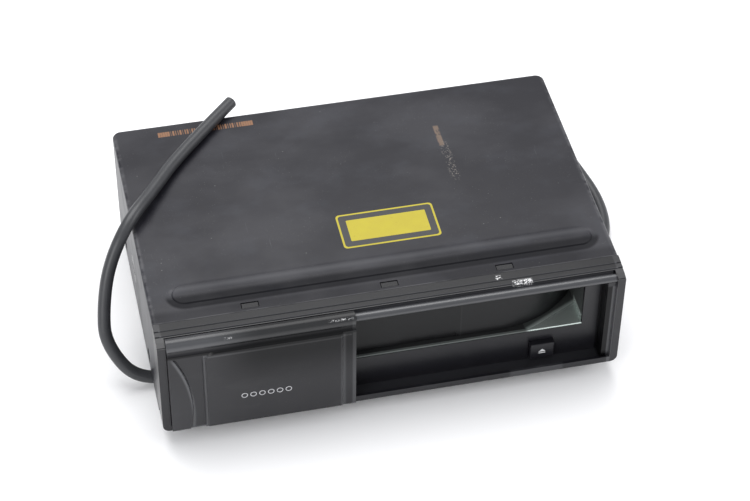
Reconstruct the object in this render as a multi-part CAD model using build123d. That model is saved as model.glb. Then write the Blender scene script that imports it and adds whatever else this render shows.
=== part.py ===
from build123d import *
from math import acos, cos, pi, radians, sin, sqrt, tan
import os

# Six-disc car CD changer with a removable magazine.
# Millimetres.  X runs along the front from left to right, Y from the front to the back, Z up.
# The origin is under the middle of the body, on the surface that the feet stand on.

# ---- case ----
case_width = 255.0
case_height = 67.0
magazine_depth = 130.0  # a 120 mm disc in its tray, with the walls
panel_setback = 10.0  # recessed panel behind the bezel face
panel_wall = 2.0
magazine_setback = 1.6  # behind the back of the recessed panel
drive_bay_depth = 28.4  # lift drive, between the magazine and the rear wall
door_proud = 3.5  # how far the door stands in front of the bezel face
foot_height = 9.0
cover_wall = 0.8
chassis_wall = 1.0
sheet_gap = 0.15  # between sheet parts that nest
rear_corner_radius = 5.0
cover_edge_radius = 1.6
side_flange_height = 16.0

# bezel face to rear wall, 172 mm
case_depth = panel_setback + panel_wall + magazine_setback + magazine_depth + drive_bay_depth
half_width = case_width / 2
rear_y = (case_depth + door_proud) / 2
face_y = -rear_y + door_proud  # front plane of the bezel
base_z = foot_height
top_z = base_z + case_height
chassis_top_z = base_z + chassis_wall
cover_inside_x = half_width - cover_wall
cover_inside_y = rear_y - cover_wall
cover_inside_z = top_z - cover_wall

# ---- bezel ----
bezel_depth = 16.0
pillar_width = 9.0
pillar_step_width = 4.5  # outer strip of each pillar, which keeps the full depth
pillar_step_depth = 2.0
bezel_corner_radius = 4.0
ledge_thickness = 2.0
lip_thickness = 1.6
lip_height = 4.0
header_front_drop = 2.8  # the header's front edge is lower than its seam with the cover
rail_radius = 2.2
rail_drop = 3.0  # rail axis under the top of the case
header_bottom_drop = 5.2
groove_back = 6.5  # rear wall of the door groove behind the face
ridge_setbacks = (10.8, 7.4)  # two steps across the header
ridge_drops = (0.6, 1.2)
seam_y = face_y + bezel_depth
panel_front_y = face_y + panel_setback
panel_back_y = panel_front_y + panel_wall
recess_half_width = half_width - pillar_width
track_half_width = half_width - pillar_step_width
rail_y = face_y + rail_radius
rail_z = top_z - rail_drop

# ---- door ----
door_width = 101.0
door_end_gap = 0.3
hook_gap = 0.35  # all round the rail
hook_wall = 1.3
door_panel = 2.2
door_bottom_rise = 1.2  # door's lower edge above the bottom of the case
door_land_corner = 6.0
door_land = 1.0  # the middle of the door stands this much proud of its ends
door_left_end = 19.5  # width of the gripping end
door_right_end = 7.0
door_flange_back = 1.2
grip_depth = 1.3
door_left_x = -track_half_width + door_end_gap
door_right_x = door_left_x + door_width
door_travel = 2 * (track_half_width - door_end_gap) - door_width

# ---- magazine bay and magazine ----
magazine_width = 129.0
magazine_wall = 1.2
magazine_front_wall = 1.6
magazine_right_x = 108.0
magazine_gap = 0.5  # over the bay floor
magazine_side_gap = 0.6
magazine_corner_radius = 60.0
magazine_corner_x = 62.0  # where the rounded front corner starts
magazine_cutaway = 13.0  # open rear left corner, for the tray puller
tray_count = 6
tray_pitch = 4.0
tray_thickness = 2.4
tray_floor = 0.9
tray_gap = 0.3
tray_recess = 2.0  # tray edge behind the magazine's open side
tray_slot_width = 52.0
tray_notch_width = 4.4
tray_notch_depth = 2.6
tray_notch_inset = 4.0  # notch centre from the tray's leading edge
shelf_width = 1.4
shelf_thickness = 0.8
disc_radius = 60.0
disc_hole_radius = 7.5
disc_thickness = 1.2
disc_gap = 0.6  # round the disc in its tray
bay_floor_rise = 24.5  # top of the bay floor above the bottom of the case
bay_wall = 1.0
slot_height = 28.5

bay_floor_z = base_z + bay_floor_rise
magazine_z = bay_floor_z + magazine_gap
magazine_height = 2 * magazine_wall + tray_count * tray_pitch
magazine_left_x = magazine_right_x - magazine_width
magazine_front_y = panel_back_y + magazine_setback
magazine_back_y = magazine_front_y + magazine_depth
disc_x = magazine_left_x + magazine_width / 2
disc_y = magazine_front_y + magazine_depth / 2
tray_left_x = magazine_left_x + tray_recess
top_tray_z = magazine_z + magazine_wall + tray_gap + (tray_count - 1) * tray_pitch
top_disc_z = top_tray_z + tray_floor

# ---- eject button ----
button_width = 13.6
button_height = 11.0
button_proud = 3.5
button_gap = 0.3
button_x = 85.6
button_rise = 10.0  # centre above the bottom of the case
button_travel = 1.5
button_flange = 1.2
button_stem = 5.0

# ---- playing deck ----
tray_travel = 97.0
lift_down = (tray_count - 1) * tray_pitch
lift_up = 2.0
deck_sheet = 1.0
deck_drop = 6.1  # top of the deck plate under the top disc
deck_left_x = -122.0
deck_right_x = -33.5
deck_front_y = face_y + 36.25
deck_rear_y = rear_y - 11.75
platform_radius = 14.0
platform_drop = 2.1  # turntable platform under the top disc, with the deck at rest
hub_radius = 7.35
hub_height = 1.6
spindle_motor_radius = 12.0
spindle_motor_height = 8.8
shaft_radius = 1.5
bore_gap = 0.06  # radial running clearance of shafts and bushes
sled_inner = 24.0  # lens to spindle at the start of the disc
sled_travel = 33.0
sled_length = 17.0
sled_rod_spacing = 38.0
rod_radius = 1.25
screw_radius = 1.5
sled_motor_radius = 6.0
sled_motor_length = 16.0
post_radius = 2.0
post_y = rear_y - 17.75
post_positions = ((-112.0, post_y), (-36.0, post_y))
bush_wall = 2.5
bush_length = 12.0

spindle_x = disc_x - tray_travel
spindle_y = disc_y
deck_top_z = top_disc_z - deck_drop
deck_bottom_z = deck_top_z - deck_sheet

# ---- clamp arm ----
clamp_open_angle = 5.0
clamp_hinge_y = rear_y - 21.45
clamp_hinge_radius = 1.2
clamp_arm_width = 20.0
puck_radius = 14.0
puck_height = 3.0
puck_neck_radius = 5.0

# ---- lift drive ----
gear_module = 1.0
pinion_teeth = 14
wheel_module = 0.8
wheel_teeth = 30
motor_pinion_teeth = 10
gear_backlash = 0.16
cam_sheet = 1.2
cam_front_y = rear_y - 9.75
lift_plate_gap = 1.2
lift_plate_sheet = 1.2
lift_plate_rise = 62.8  # top of the lift plate above the bottom of the case
lift_pin_radius = 1.5
lift_pin_gap = 0.3
lift_pin_x = (-98.0, -46.0)
lift_pin_drop = 4.3  # pin under the deck plate
pinion_x = 8.0
lift_motor_radius = 9.5
lift_motor_length = 12.6

# ---- floating base ----
floating_z = base_z + 8.0
floating_sheet = 1.0
damper_positions = (
    (-100.0, face_y + 34.25),
    (100.0, face_y + 34.25),
    (-100.0, rear_y - 37.75),
    (88.0, rear_y - 15.75),
)
damper_radius = 6.0

# ---- feet, dials, cable ----
foot_x = 108.0
foot_front_y = face_y + 24.25
foot_rear_y = rear_y - 17.75
foot_radius = 8.0
insert_radius = 3.0
insert_hole_radius = 1.65  # M4 thread
bracket_hole_radius = 2.1  # M5 thread
bracket_boss_radius = 4.0
bracket_boss_length = 3.0
bracket_front_y = face_y + 49.25
bracket_rear_y = rear_y - 32.75
bracket_rise = 9.0
dial_radius = 8.3
dial_gap = 0.3
dial_y = rear_y - 72.0
dial_rise = 27.0
cable_radius = 3.6
gland_x = 60.0
gland_rise = 13.0


def block(x, y, z):
    """A box between two limits along each axis."""
    return Pos((x[0] + x[1]) / 2, (y[0] + y[1]) / 2, (z[0] + z[1]) / 2) * Box(
        x[1] - x[0], y[1] - y[0], z[1] - z[0]
    )


def bar(axis, radius, start, end, u, v):
    """A round bar along an axis; u and v place it on the other two axes, in X, Y, Z order."""
    middle, length = (start + end) / 2, end - start
    if axis == "X":
        return Pos(middle, u, v) * Rot(0, 90, 0) * Cylinder(radius, length)
    if axis == "Y":
        return Pos(u, middle, v) * Rot(90, 0, 0) * Cylinder(radius, length)
    return Pos(u, v, middle) * Cylinder(radius, length)


def along_x(face, start, end):
    """Extrude a face drawn in (y, z) from one X to another."""
    return extrude(Plane.YZ.offset(start) * face, end - start)


def along_y(face, start, end):
    """Extrude a face drawn in (x, z) from one Y to another."""
    return extrude(Plane.XZ.offset(-end) * face, end - start)


def along_z(face, start, end):
    """Extrude a face drawn in (x, y) from one Z to another."""
    return extrude(Plane.XY.offset(start) * face, end - start)


def polygon(*points):
    return make_face(Polyline(*points, close=True))


def slot_face(x0, y0, x1, y1, radius):
    """A straight slot between two centres."""
    length = sqrt((x1 - x0) ** 2 + (y1 - y0) ** 2)
    middle = Pos((x0 + x1) / 2, (y0 + y1) / 2)
    angle = Vector(1, 0, 0).get_signed_angle(Vector(x1 - x0, y1 - y0, 0), Vector(0, 0, 1))
    return middle * Rot(0, 0, angle) * SlotCenterToCenter(length, 2 * radius)


# ---------------------------------------------------------------- case


def cover_form(inset):
    """The cover's outer form, or with an inset its inner form, open at the front and bottom."""
    y0 = seam_y - (1.0 if inset else 0.0)
    z0 = base_z - (1.0 if inset else 0.0)
    body = block(
        (-half_width + inset, half_width - inset), (y0, rear_y - inset), (z0, top_z - inset)
    )
    corners = body.edges().filter_by(Axis.Z).group_by(Axis.Y)[-1]
    body = fillet(corners, rear_corner_radius - inset)
    top_edges = body.faces().sort_by(Axis.Z)[-1].edges()
    front = top_edges.sort_by(Axis.Y)[0]
    return fillet([e for e in top_edges if e != front], cover_edge_radius - inset)


bead_length = 232.0
bead_width = 14.0
bead_height = 0.6
bead_x = 1.8
bead_y = seam_y + 18.5
snap_slot_x = (-74.6, 1.1, 64.8)
snap_slot_size = (9.6, 4.2)
snap_slot_setback = 2.0  # behind the cover's front edge
cover_screw_radius = 1.25
screw_head_radius = 2.6
screw_gap = 0.08
side_screw_y = (face_y + 29.25, rear_y - 17.75)
side_screw_rise = 6.0
rear_screw_x = (-70.0, 30.0)


def stadium(length, width):
    return SlotOverall(length, width)


def side_mirror(solid):
    return solid + mirror(solid, Plane.YZ)


def screw_cutter(x, y, z, direction, clearance):
    """Countersunk screw hole or screw: a cone in the cover and a shank into the flange."""
    head = Cone(
        cover_screw_radius + clearance,
        screw_head_radius + clearance,
        cover_wall,
        align=(Align.CENTER, Align.CENTER, Align.MIN),
    )
    shank = Cylinder(
        cover_screw_radius + clearance, 4.2, align=(Align.CENTER, Align.CENTER, Align.MAX)
    )
    place = Plane(origin=(x, y, z), z_dir=direction)
    return place * Pos(0, 0, -cover_wall) * (head + shank)


def cover_screw_set(clearance):
    screws = []
    for y in side_screw_y:
        for side in (-1, 1):
            screws.append(
                screw_cutter(side * half_width, y, base_z + side_screw_rise, (side, 0, 0), clearance)
            )
    for x in rear_screw_x:
        screws.append(screw_cutter(x, rear_y, base_z + side_screw_rise, (0, 1, 0), clearance))
    return screws


def top_cover():
    shell = cover_form(0) - cover_form(cover_wall)
    bead = Pos(bead_x, bead_y) * stadium(bead_length, bead_width)
    under = Pos(bead_x, bead_y) * stadium(bead_length - 2 * cover_wall, bead_width - 2 * cover_wall)
    shell += extrude(Plane.XY.offset(top_z) * bead, bead_height, taper=45)
    shell -= extrude(Plane.XY.offset(cover_inside_z) * under, bead_height, taper=45)
    slot_y = seam_y + snap_slot_setback + snap_slot_size[1] / 2
    for x in snap_slot_x:
        shell -= Pos(x, slot_y, top_z) * Box(snap_slot_size[0], snap_slot_size[1], 4 * cover_wall)
    for side in (-1, 1):
        wall = (side * (half_width - 2), side * (half_width + 1))
        shell -= bar("X", dial_radius + dial_gap, min(wall), max(wall), dial_y, base_z + dial_rise)
        for y in (bracket_front_y, bracket_rear_y):
            shell -= bar(
                "X", bracket_boss_radius + 0.4, min(wall), max(wall), y, base_z + bracket_rise
            )
    shell -= bar("Y", gland_neck_radius + 0.2, rear_y - 2, rear_y + 1, gland_x, base_z + gland_rise)
    for cutter in cover_screw_set(screw_gap):
        shell -= cutter
    return shell


def bottom_chassis():
    x = cover_inside_x - sheet_gap
    y = cover_inside_y - sheet_gap
    inner = rear_corner_radius - cover_wall - sheet_gap
    outer = block((-x, x), (seam_y, y), (base_z, base_z + side_flange_height))
    outer = fillet(outer.edges().filter_by(Axis.Z).group_by(Axis.Y)[-1], inner)
    hollow = block(
        (-x + chassis_wall, x - chassis_wall),
        (seam_y - 1, y - chassis_wall),
        (chassis_top_z, base_z + side_flange_height + 1),
    )
    hollow = fillet(hollow.edges().filter_by(Axis.Z).group_by(Axis.Y)[-1], inner - chassis_wall)
    pan = outer - hollow
    for fx in (-foot_x, foot_x):
        for fy in (foot_front_y, foot_rear_y):
            pan -= bar("Z", insert_radius + 0.1, base_z - 1, chassis_top_z + 1, fx, fy)
    for side in (-1, 1):
        inside = side * (x - chassis_wall)
        tip = inside - side * bracket_boss_length
        for y_hole in (bracket_front_y, bracket_rear_y):
            place = (y_hole, base_z + bracket_rise)
            pan += bar("X", bracket_boss_radius, min(inside, tip), max(inside, tip), *place)
            pan -= bar("X", bracket_hole_radius, min(side * x, tip) - 1, max(side * x, tip) + 1, *place)
    for cutter in cover_screw_set(screw_gap):
        pan -= cutter
    # notch for the cable gland
    pan -= bar("Y", gland_neck_radius + 0.2, y - 5, y + 1, gland_x, gland_z)
    for rib_y in (bracket_front_y + 15.0, bracket_rear_y - 20.0):
        rib = Pos(0, rib_y) * stadium(1.3 * half_width, 12.0)
        pan += extrude(Plane.XY.offset(chassis_top_z) * rib, 0.6, taper=45)
    return pan


def header_profile():
    """Header cross-section in (y, z): seam, two ridge steps, front drop and underside."""
    y1, y2 = (face_y + s for s in ridge_setbacks)
    return polygon(
        (seam_y, top_z - 0.1),
        (y1, top_z - 0.1),
        (y1 - 0.4, top_z - ridge_drops[0]),
        (y2, top_z - ridge_drops[0]),
        (y2 - 0.4, top_z - ridge_drops[1]),
        (face_y + 4, top_z - ridge_drops[1] - 0.4),
        (face_y + 0.8, top_z - header_front_drop + 0.3),
        (face_y, top_z - header_front_drop - 0.4),
        (face_y, top_z - header_bottom_drop),
        (panel_front_y, top_z - header_bottom_drop),
        (panel_front_y, top_z - header_bottom_drop - 2),
        (panel_back_y, top_z - header_bottom_drop - 2),
        (panel_back_y, top_z - header_bottom_drop + 2),
        (seam_y, top_z - header_bottom_drop + 2),
    )


slot_side_gap = 0.4
slot_bottom_drop = 1.2  # the slot starts this much under the bay floor's top


def front_bezel():
    shell = along_x(header_profile(), -half_width, half_width)
    # pillars with their stepped inner strip
    pillar = block(
        (recess_half_width, half_width), (face_y, seam_y), (base_z, top_z - header_front_drop)
    )
    pillar -= block(
        (recess_half_width - 1, track_half_width),
        (face_y - 1, face_y + pillar_step_depth),
        (base_z + ledge_thickness, top_z),
    )
    pillar -= block(
        (recess_half_width + 2, half_width - 2),
        (face_y + 5, seam_y + 1),
        (base_z + 2, top_z - header_bottom_drop - 1),
    )
    shell += side_mirror(pillar)
    # recessed panel and bottom ledge with its lip
    shell += block(
        (-recess_half_width - 0.5, recess_half_width + 0.5),
        (panel_front_y, panel_back_y),
        (base_z, top_z - header_bottom_drop),
    )
    shell += block(
        (-half_width + 1, half_width - 1), (face_y, seam_y), (base_z, base_z + ledge_thickness)
    )
    shell += block(
        (-track_half_width, track_half_width),
        (face_y, face_y + lip_thickness),
        (base_z, base_z + lip_height),
    )
    # door groove and rail
    shell -= block(
        (-track_half_width, track_half_width),
        (face_y - 1, face_y + groove_back),
        (top_z - header_bottom_drop - 1, top_z + 1),
    )
    web_top = top_z - header_bottom_drop + 1.6
    shell += block(
        (-track_half_width, track_half_width),
        (rail_y, face_y + groove_back),
        (top_z - header_bottom_drop, web_top),
    )
    shell += bar("X", rail_radius, -track_half_width, track_half_width, rail_y, rail_z)
    # magazine slot
    shell -= block(
        (magazine_left_x - slot_side_gap, magazine_right_x + slot_side_gap),
        (panel_front_y - 1, panel_back_y + 1),
        (bay_floor_z - slot_bottom_drop, bay_floor_z + slot_height),
    )
    # eject button hole
    shell -= Pos(button_x, panel_front_y, base_z + button_rise) * Box(
        button_width + 2 * button_gap, 3 * panel_wall, button_height + 2 * button_gap
    )
    # outer corners: a rounded frame in front view
    keep = along_y(
        Pos(0, base_z + case_height / 2) * RectangleRounded(case_width, case_height, bezel_corner_radius),
        face_y - 1,
        seam_y + 1,
    )
    keep += block(
        (-half_width, half_width), (face_y - 1, seam_y + 1), (base_z + case_height / 2, top_z)
    )
    shell &= keep
    # snap tongues under the cover
    for x in snap_slot_x:
        tongue = (x - snap_slot_size[0] / 2 + 0.4, x + snap_slot_size[0] / 2 - 0.4)
        shell += block(
            tongue, (seam_y - 1, seam_y + 8), (cover_inside_z - 1.6, cover_inside_z - 0.1)
        )
        slot_front = seam_y + snap_slot_setback
        shell += block(
            tongue,
            (slot_front + 0.3, slot_front + snap_slot_size[1] - 0.6),
            (cover_inside_z - 1.6, top_z - 0.2),
        )
    return shell


def door_profile():
    """Door cross-section in (y, z): a hook over the rail, a hollow neck and a flat panel."""
    inner, outer = rail_radius + hook_gap, rail_radius + hook_gap + hook_wall
    front = -rear_y
    back = front + door_panel
    neck_z = rail_z - 1.2
    ridge_z = top_z - 7.3
    bottom = base_z + door_bottom_rise
    foot_z = base_z + lip_height + 0.5
    foot_y = face_y + lip_thickness + hook_gap
    outline = [
        ThreePointArc((rail_y + inner, rail_z), (rail_y, rail_z + inner), (rail_y - inner, rail_z)),
        Line((rail_y - inner, rail_z), (back, ridge_z)),
        Line((back, ridge_z), (back, foot_z + 1.4)),
        Line((back, foot_z + 1.4), (foot_y + 1.2, foot_z + 1.4)),
        Line((foot_y + 1.2, foot_z + 1.4), (foot_y + 1.2, foot_z - 2.0)),
        Line((foot_y + 1.2, foot_z - 2.0), (foot_y, foot_z - 2.0)),
        Line((foot_y, foot_z - 2.0), (foot_y, foot_z)),
        Line((foot_y, foot_z), (back, foot_z)),
        Line((back, foot_z), (back, bottom)),
        Line((back, bottom), (front + door_land + 0.6, bottom)),
        Line((front + door_land + 0.6, bottom), (front + door_land, bottom + 0.8)),
        Line((front + door_land, bottom + 0.8), (front + door_land, ridge_z - 0.4)),
        ThreePointArc(
            (front + door_land, ridge_z - 0.4),
            (rail_y - outer + 0.25, ridge_z + 2.2),
            (rail_y - outer, neck_z),
        ),
        Line((rail_y - outer, neck_z), (rail_y - outer, rail_z)),
        ThreePointArc((rail_y - outer, rail_z), (rail_y, rail_z + outer), (rail_y + outer, rail_z)),
        Line((rail_y + outer, rail_z), (rail_y + inner, rail_z)),
    ]
    return make_face(Wire(outline))


def sliding_door():
    door = along_x(door_profile(), door_left_x, door_right_x)
    # the foot stops short of both ends, to pass the pillars' steps
    short = track_half_width - recess_half_width + 0.5
    for x in ((door_left_x - 1, door_left_x + short), (door_right_x - short, door_right_x + 1)):
        door -= block(x, (-rear_y + door_panel, face_y + 5), (base_z, base_z + lip_height + 3))
    front = -rear_y
    ridge_z = top_z - 7.3
    bottom = base_z + door_bottom_rise
    # raised middle land with sloping edges
    land = Pos(
        (door_left_x + door_left_end + door_right_x - door_right_end) / 2,
        (ridge_z + bottom + 0.6) / 2,
    ) * Rectangle(door_width - door_left_end - door_right_end, ridge_z - bottom - 0.6)
    grip_side = land.vertices().sort_by(Axis.X)[:2]
    land = fillet(grip_side.sort_by(Axis.Y)[-1], door_land_corner)
    door += extrude(Plane.XZ.offset(-(front + door_land)) * land, door_land, taper=40)
    # finger grip: a hollow bounded by a curve on the left and the land on the right
    door += block(
        (door_left_x, door_left_x + door_left_end + 3),
        (front + door_panel - 0.1, face_y - 0.2),
        (bottom, top_z - 9.0),
    )
    grip_right = door_left_x + door_left_end - 0.6
    grip_top = ridge_z - 2.2
    curve_x = door_left_x + 11.0
    grip = make_face(
        Wire(
            [
                Line((door_left_x + 2.5, grip_top), (grip_right, grip_top)),
                Line((grip_right, grip_top), (grip_right, bottom - 1)),
                Line((grip_right, bottom - 1), (curve_x - 1.5, bottom - 1)),
                ThreePointArc(
                    (curve_x - 1.5, bottom - 1),
                    (curve_x, bottom + 28),
                    (door_left_x + 2.5, grip_top),
                ),
            ]
        )
    )
    door -= extrude(Plane.XZ.offset(-(front + door_land)) * grip, -grip_depth, taper=30)
    # side flanges that run in front of the recess
    for x in (door_left_x, door_right_x - 1.5):
        door += block(
            (x, x + 1.5),
            (front + door_panel - 0.2, face_y + door_flange_back),
            (base_z + lip_height + 0.6, top_z - 8.0),
        )
    return door


def eject_button():
    z = base_z + button_rise
    half = button_width / 2
    tall = button_height / 2
    face = block(
        (button_x - half, button_x + half),
        (panel_front_y - button_proud, panel_back_y + 0.3),
        (z - tall, z + tall),
    )
    face = fillet(face.faces().sort_by(Axis.Y)[0].edges(), 0.6)
    flange = block(
        (button_x - half - 1, button_x + half + 1),
        (panel_back_y + 0.3, panel_back_y + 0.3 + button_flange),
        (z - tall - 1, z + tall + 1),
    )
    stem_y = panel_back_y + 0.3 + button_flange
    stem = bar("Y", 1.5, stem_y, stem_y + button_stem, button_x, z)
    return face + flange + stem


def button_spring():
    """Return spring, at the length it has with the button pressed."""
    start = panel_back_y + 0.3 + button_flange + button_travel + 0.05
    end = switch_board_y - 0.05
    wire = 0.25
    length = end - start - 2 * wire
    place = Plane(origin=(button_x, start + wire, base_z + button_rise), z_dir=(0, 1, 0))
    path = place * Helix(pitch=length / 4, height=length, radius=2.8)
    section = Plane(origin=path @ 0, z_dir=path % 0) * RegularPolygon(wire, 6)
    return sweep(section, path=path, is_frenet=True)


switch_board_y = panel_back_y + 0.3 + button_flange + button_stem + 2.9


def eject_switch():
    z = base_z + button_rise
    body = block(
        (button_x - 1.7, button_x + 1.7),
        (switch_board_y - 0.9, switch_board_y),
        (z - 1.7, z + 1.7),
    )
    nub = bar("Y", 1.0, switch_board_y - 1.3, switch_board_y - 0.9, button_x, z)
    return body + nub


def switch_board():
    """A small upright board on two tabs of the floating base."""
    z = base_z + button_rise
    board = block(
        (button_x - 12, button_x + 12),
        (switch_board_y, switch_board_y + 1.2),
        (floating_z + floating_sheet, z + 4.5),
    )
    return board


# ---------------------------------------------------------------- bay, magazine, trays, discs


def magazine_outline(inset, left):
    """Plan of the magazine, inset all round; the left side is straight at the given X."""
    front = magazine_front_y + inset
    back = magazine_back_y - inset
    right = magazine_right_x - inset
    radius = magazine_corner_radius - inset
    centre_y = magazine_front_y + magazine_corner_radius
    dx = right - magazine_corner_x
    side_y = centre_y - sqrt(radius**2 - dx**2)
    middle = radians(-90 + 0.5 * (90 - acos(dx / radius) * 180 / pi))
    return make_face(
        Wire(
            [
                Line((left, front), (magazine_corner_x, front)),
                ThreePointArc(
                    (magazine_corner_x, front),
                    (magazine_corner_x + radius * cos(middle), centre_y + radius * sin(middle)),
                    (right, side_y),
                ),
                Line((right, side_y), (right, back)),
                Line((right, back), (left, back)),
                Line((left, back), (left, front)),
            ]
        )
    )


magazine_shelf_inset = magazine_front_wall + shelf_width


def tray_z(index):
    return magazine_z + magazine_wall + tray_gap + index * tray_pitch


def magazine_shell():
    top = magazine_z + magazine_height
    shell = along_z(magazine_outline(0, magazine_left_x), magazine_z, top)
    hollow = along_z(
        magazine_outline(magazine_front_wall, magazine_left_x - 1),
        magazine_z + magazine_wall,
        top - magazine_wall,
    )
    shell -= hollow
    for index in range(tray_count):
        shelf = magazine_outline(magazine_front_wall, magazine_left_x + 1) - magazine_outline(
            magazine_shelf_inset, magazine_left_x
        )
        z = tray_z(index) - 0.05
        if index:
            shell += along_z(shelf, z - shelf_thickness, z)
    shell -= block(
        (magazine_left_x - 1, magazine_left_x + magazine_cutaway),
        (magazine_back_y - 4.4, magazine_back_y + 1),
        (magazine_z - 1, top + 1),
    )
    # pull-out hollow under the front edge
    shell -= Pos(magazine_left_x + magazine_width / 3, magazine_front_y, magazine_z) * Rot(
        90, 0, 0
    ) * Cylinder(16, 0.8)
    return shell


def disc_tray(index):
    z = tray_z(index)
    tray = along_z(magazine_outline(magazine_front_wall + tray_gap, tray_left_x), z, z + tray_thickness)
    tray -= bar("Z", disc_radius + disc_gap, z + tray_floor, z + tray_thickness + 1, disc_x, disc_y)
    half = tray_slot_width / 2
    tray -= block((tray_left_x - 1, disc_x), (disc_y - half, disc_y + half), (z - 1, z + 4))
    tray -= bar("Z", half, z - 1, z + 4, disc_x, disc_y)
    notch_x = tray_left_x + tray_notch_inset
    back = magazine_back_y - magazine_front_wall - tray_gap
    tray -= block(
        (notch_x - tray_notch_width / 2, notch_x + tray_notch_width / 2),
        (back - tray_notch_depth, back + 1),
        (z - 1, z + 4),
    )
    return tray


def disc(index):
    z = tray_z(index) + tray_floor
    return bar("Z", disc_radius, z, z + disc_thickness, disc_x, disc_y) - bar(
        "Z", disc_hole_radius, z - 1, z + 2, disc_x, disc_y
    )


def magazine_bay():
    """Folded sheet: floor, right wall and left leg, standing on the floating base."""
    foot = floating_z + floating_sheet
    right = magazine_right_x + magazine_side_gap
    left = magazine_left_x - 2.0
    back = magazine_back_y - 1.0
    floor = block(
        (left, right + bay_wall), (panel_back_y + 0.3, back), (bay_floor_z - bay_wall, bay_floor_z)
    )
    floor += block(
        (magazine_left_x - slot_side_gap + 0.2, magazine_right_x + slot_side_gap - 0.2),
        (panel_front_y + 0.2, panel_back_y + 1),
        (bay_floor_z - bay_wall, bay_floor_z),
    )
    floor += block(
        (right, right + bay_wall),
        (panel_back_y + 0.3, back),
        (foot, bay_floor_z + slot_height),
    )
    floor += block(
        (left, left + bay_wall), (panel_back_y + 6, back), (foot, bay_floor_z - bay_wall + 0.1)
    )
    for x in (disc_x - 33.5, disc_x + 26.5):
        rib = Pos(x, (panel_back_y + back) / 2) * Rot(0, 0, 90) * stadium(1.5 * disc_radius, 10)
        floor -= extrude(Plane.XY.offset(bay_floor_z) * rib, -0.4, taper=45)
    for x in (disc_x - 48.5, disc_x - 3.5, disc_x + 41.5):
        floor -= bar("Z", 5.0, bay_floor_z - 3, bay_floor_z + 1, x, back - 12)
    return floor


def bay_roof():
    right = magazine_right_x + magazine_side_gap
    z = bay_floor_z + slot_height
    back = magazine_back_y + 1.2
    roof = block((magazine_left_x + 2, right + bay_wall), (panel_back_y + 2, back), (z, z + bay_wall))
    roof += block(
        (magazine_right_x - 58.0, magazine_right_x - 12.0),
        (back, back + bay_wall),
        (floating_z + floating_sheet, z + bay_wall),
    )
    roof -= bar("Z", 22.0, z - 1, z + 2, disc_x, disc_y)
    for x in (disc_x - 43.5, disc_x + 36.5):
        roof -= Pos(x, disc_y, z) * Box(12, disc_radius, 3)
    return roof


# ---------------------------------------------------------------- playing deck


def deck_plate():
    z0, z1 = deck_bottom_z, deck_top_z
    deck = block((deck_left_x, deck_right_x), (deck_front_y, deck_rear_y), (z0, z1))
    deck += block(
        (deck_left_x + 4, deck_right_x - 2),
        (deck_rear_y - deck_sheet, deck_rear_y),
        (z0 - 9, z1),
    )
    # pickup window and spindle hole
    window_half = sled_rod_spacing / 2 + 4.4
    deck -= block(
        (deck_left_x + 2.2, rod_bracket_x - 0.2),
        (spindle_y - window_half, spindle_y + window_half),
        (z0 - 1, z1 + 1),
    )
    deck -= bar("Z", 4.0, z0 - 1, z1 + 1, spindle_x, spindle_y)
    # guide bushes
    for x, y in post_positions:
        deck += bar(
            "Z", post_radius + bush_wall, z1 - bush_length / 2, z1 + bush_length / 2, x, y
        )
    for x, y in post_positions:
        deck -= bar("Z", post_radius + bore_gap, z1 - bush_length, z1 + bush_length, x, y)
    # clamp hinge ears
    half = clamp_arm_width / 2
    for x in (spindle_x - half - 1.8, spindle_x + half + 0.3):
        deck += block(
            (x, x + 1.5), (clamp_hinge_y - 1.9, clamp_hinge_y + 3), (z1 - 0.2, clamp_hinge_z + 2.4)
        )
    deck -= bar("X", clamp_hinge_radius, spindle_x - 20, spindle_x + 20, clamp_hinge_y, clamp_hinge_z)
    # rod brackets
    rod_z = deck_bottom_z - 2.1
    for side in (-1, 1):
        y = spindle_y + side * sled_rod_spacing / 2
        for x in (deck_left_x, rod_bracket_x):
            deck += block((x, x + rod_bracket), (y - 3, y + 3), (rod_z - 3, z0 + 0.1))
        deck -= bar("X", rod_radius, deck_left_x - 1, spindle_x, y, rod_z)
    # lead screw bearing
    deck += block(
        (deck_left_x, deck_left_x + rod_bracket),
        (sled_screw_y - 3, sled_screw_y + 3),
        (sled_screw_z - 3, z0 + 0.1),
    )
    deck -= bar(
        "X", screw_radius + bore_gap, deck_left_x - 1, deck_left_x + 9, sled_screw_y, sled_screw_z
    )
    # rib under the puller rod
    deck += block(
        (deck_left_x + 1.5, deck_right_x),
        (puller_rod_y - puller_rib / 2, puller_rod_y + puller_rib / 2),
        (z1 - 0.1, puller_rod_z),
    )
    deck -= bar("X", puller_rod_radius, deck_left_x - 5, 0, puller_rod_y, puller_rod_z)
    # lift pins
    for x in lift_pin_x:
        deck += bar("Y", lift_pin_radius, deck_rear_y - 0.5, lift_pin_end_y, x, lift_pin_z)
    return deck


clamp_hinge_z = deck_top_z + 10.2
puller_rod_radius = 1.2
puller_rib = 0.8
rod_bracket = 2.2
rod_bracket_x = spindle_x - spindle_motor_radius - 0.6 - rod_bracket
puller_rod_y = magazine_back_y + 2.5
puller_rod_z = deck_top_z + 2.4
lift_pin_z = deck_top_z - lift_pin_drop
lift_plate_y = cam_front_y + cam_sheet + lift_plate_gap
lift_pin_end_y = lift_plate_y + lift_plate_sheet + 1.2


def sled_rods():
    rod_z = deck_bottom_z - 2.1
    rods = []
    for side in (-1, 1):
        y = spindle_y + side * sled_rod_spacing / 2
        rods.append(
            bar("X", rod_radius, deck_left_x, rod_bracket_x + rod_bracket, y, rod_z)
        )
    return rods


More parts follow.
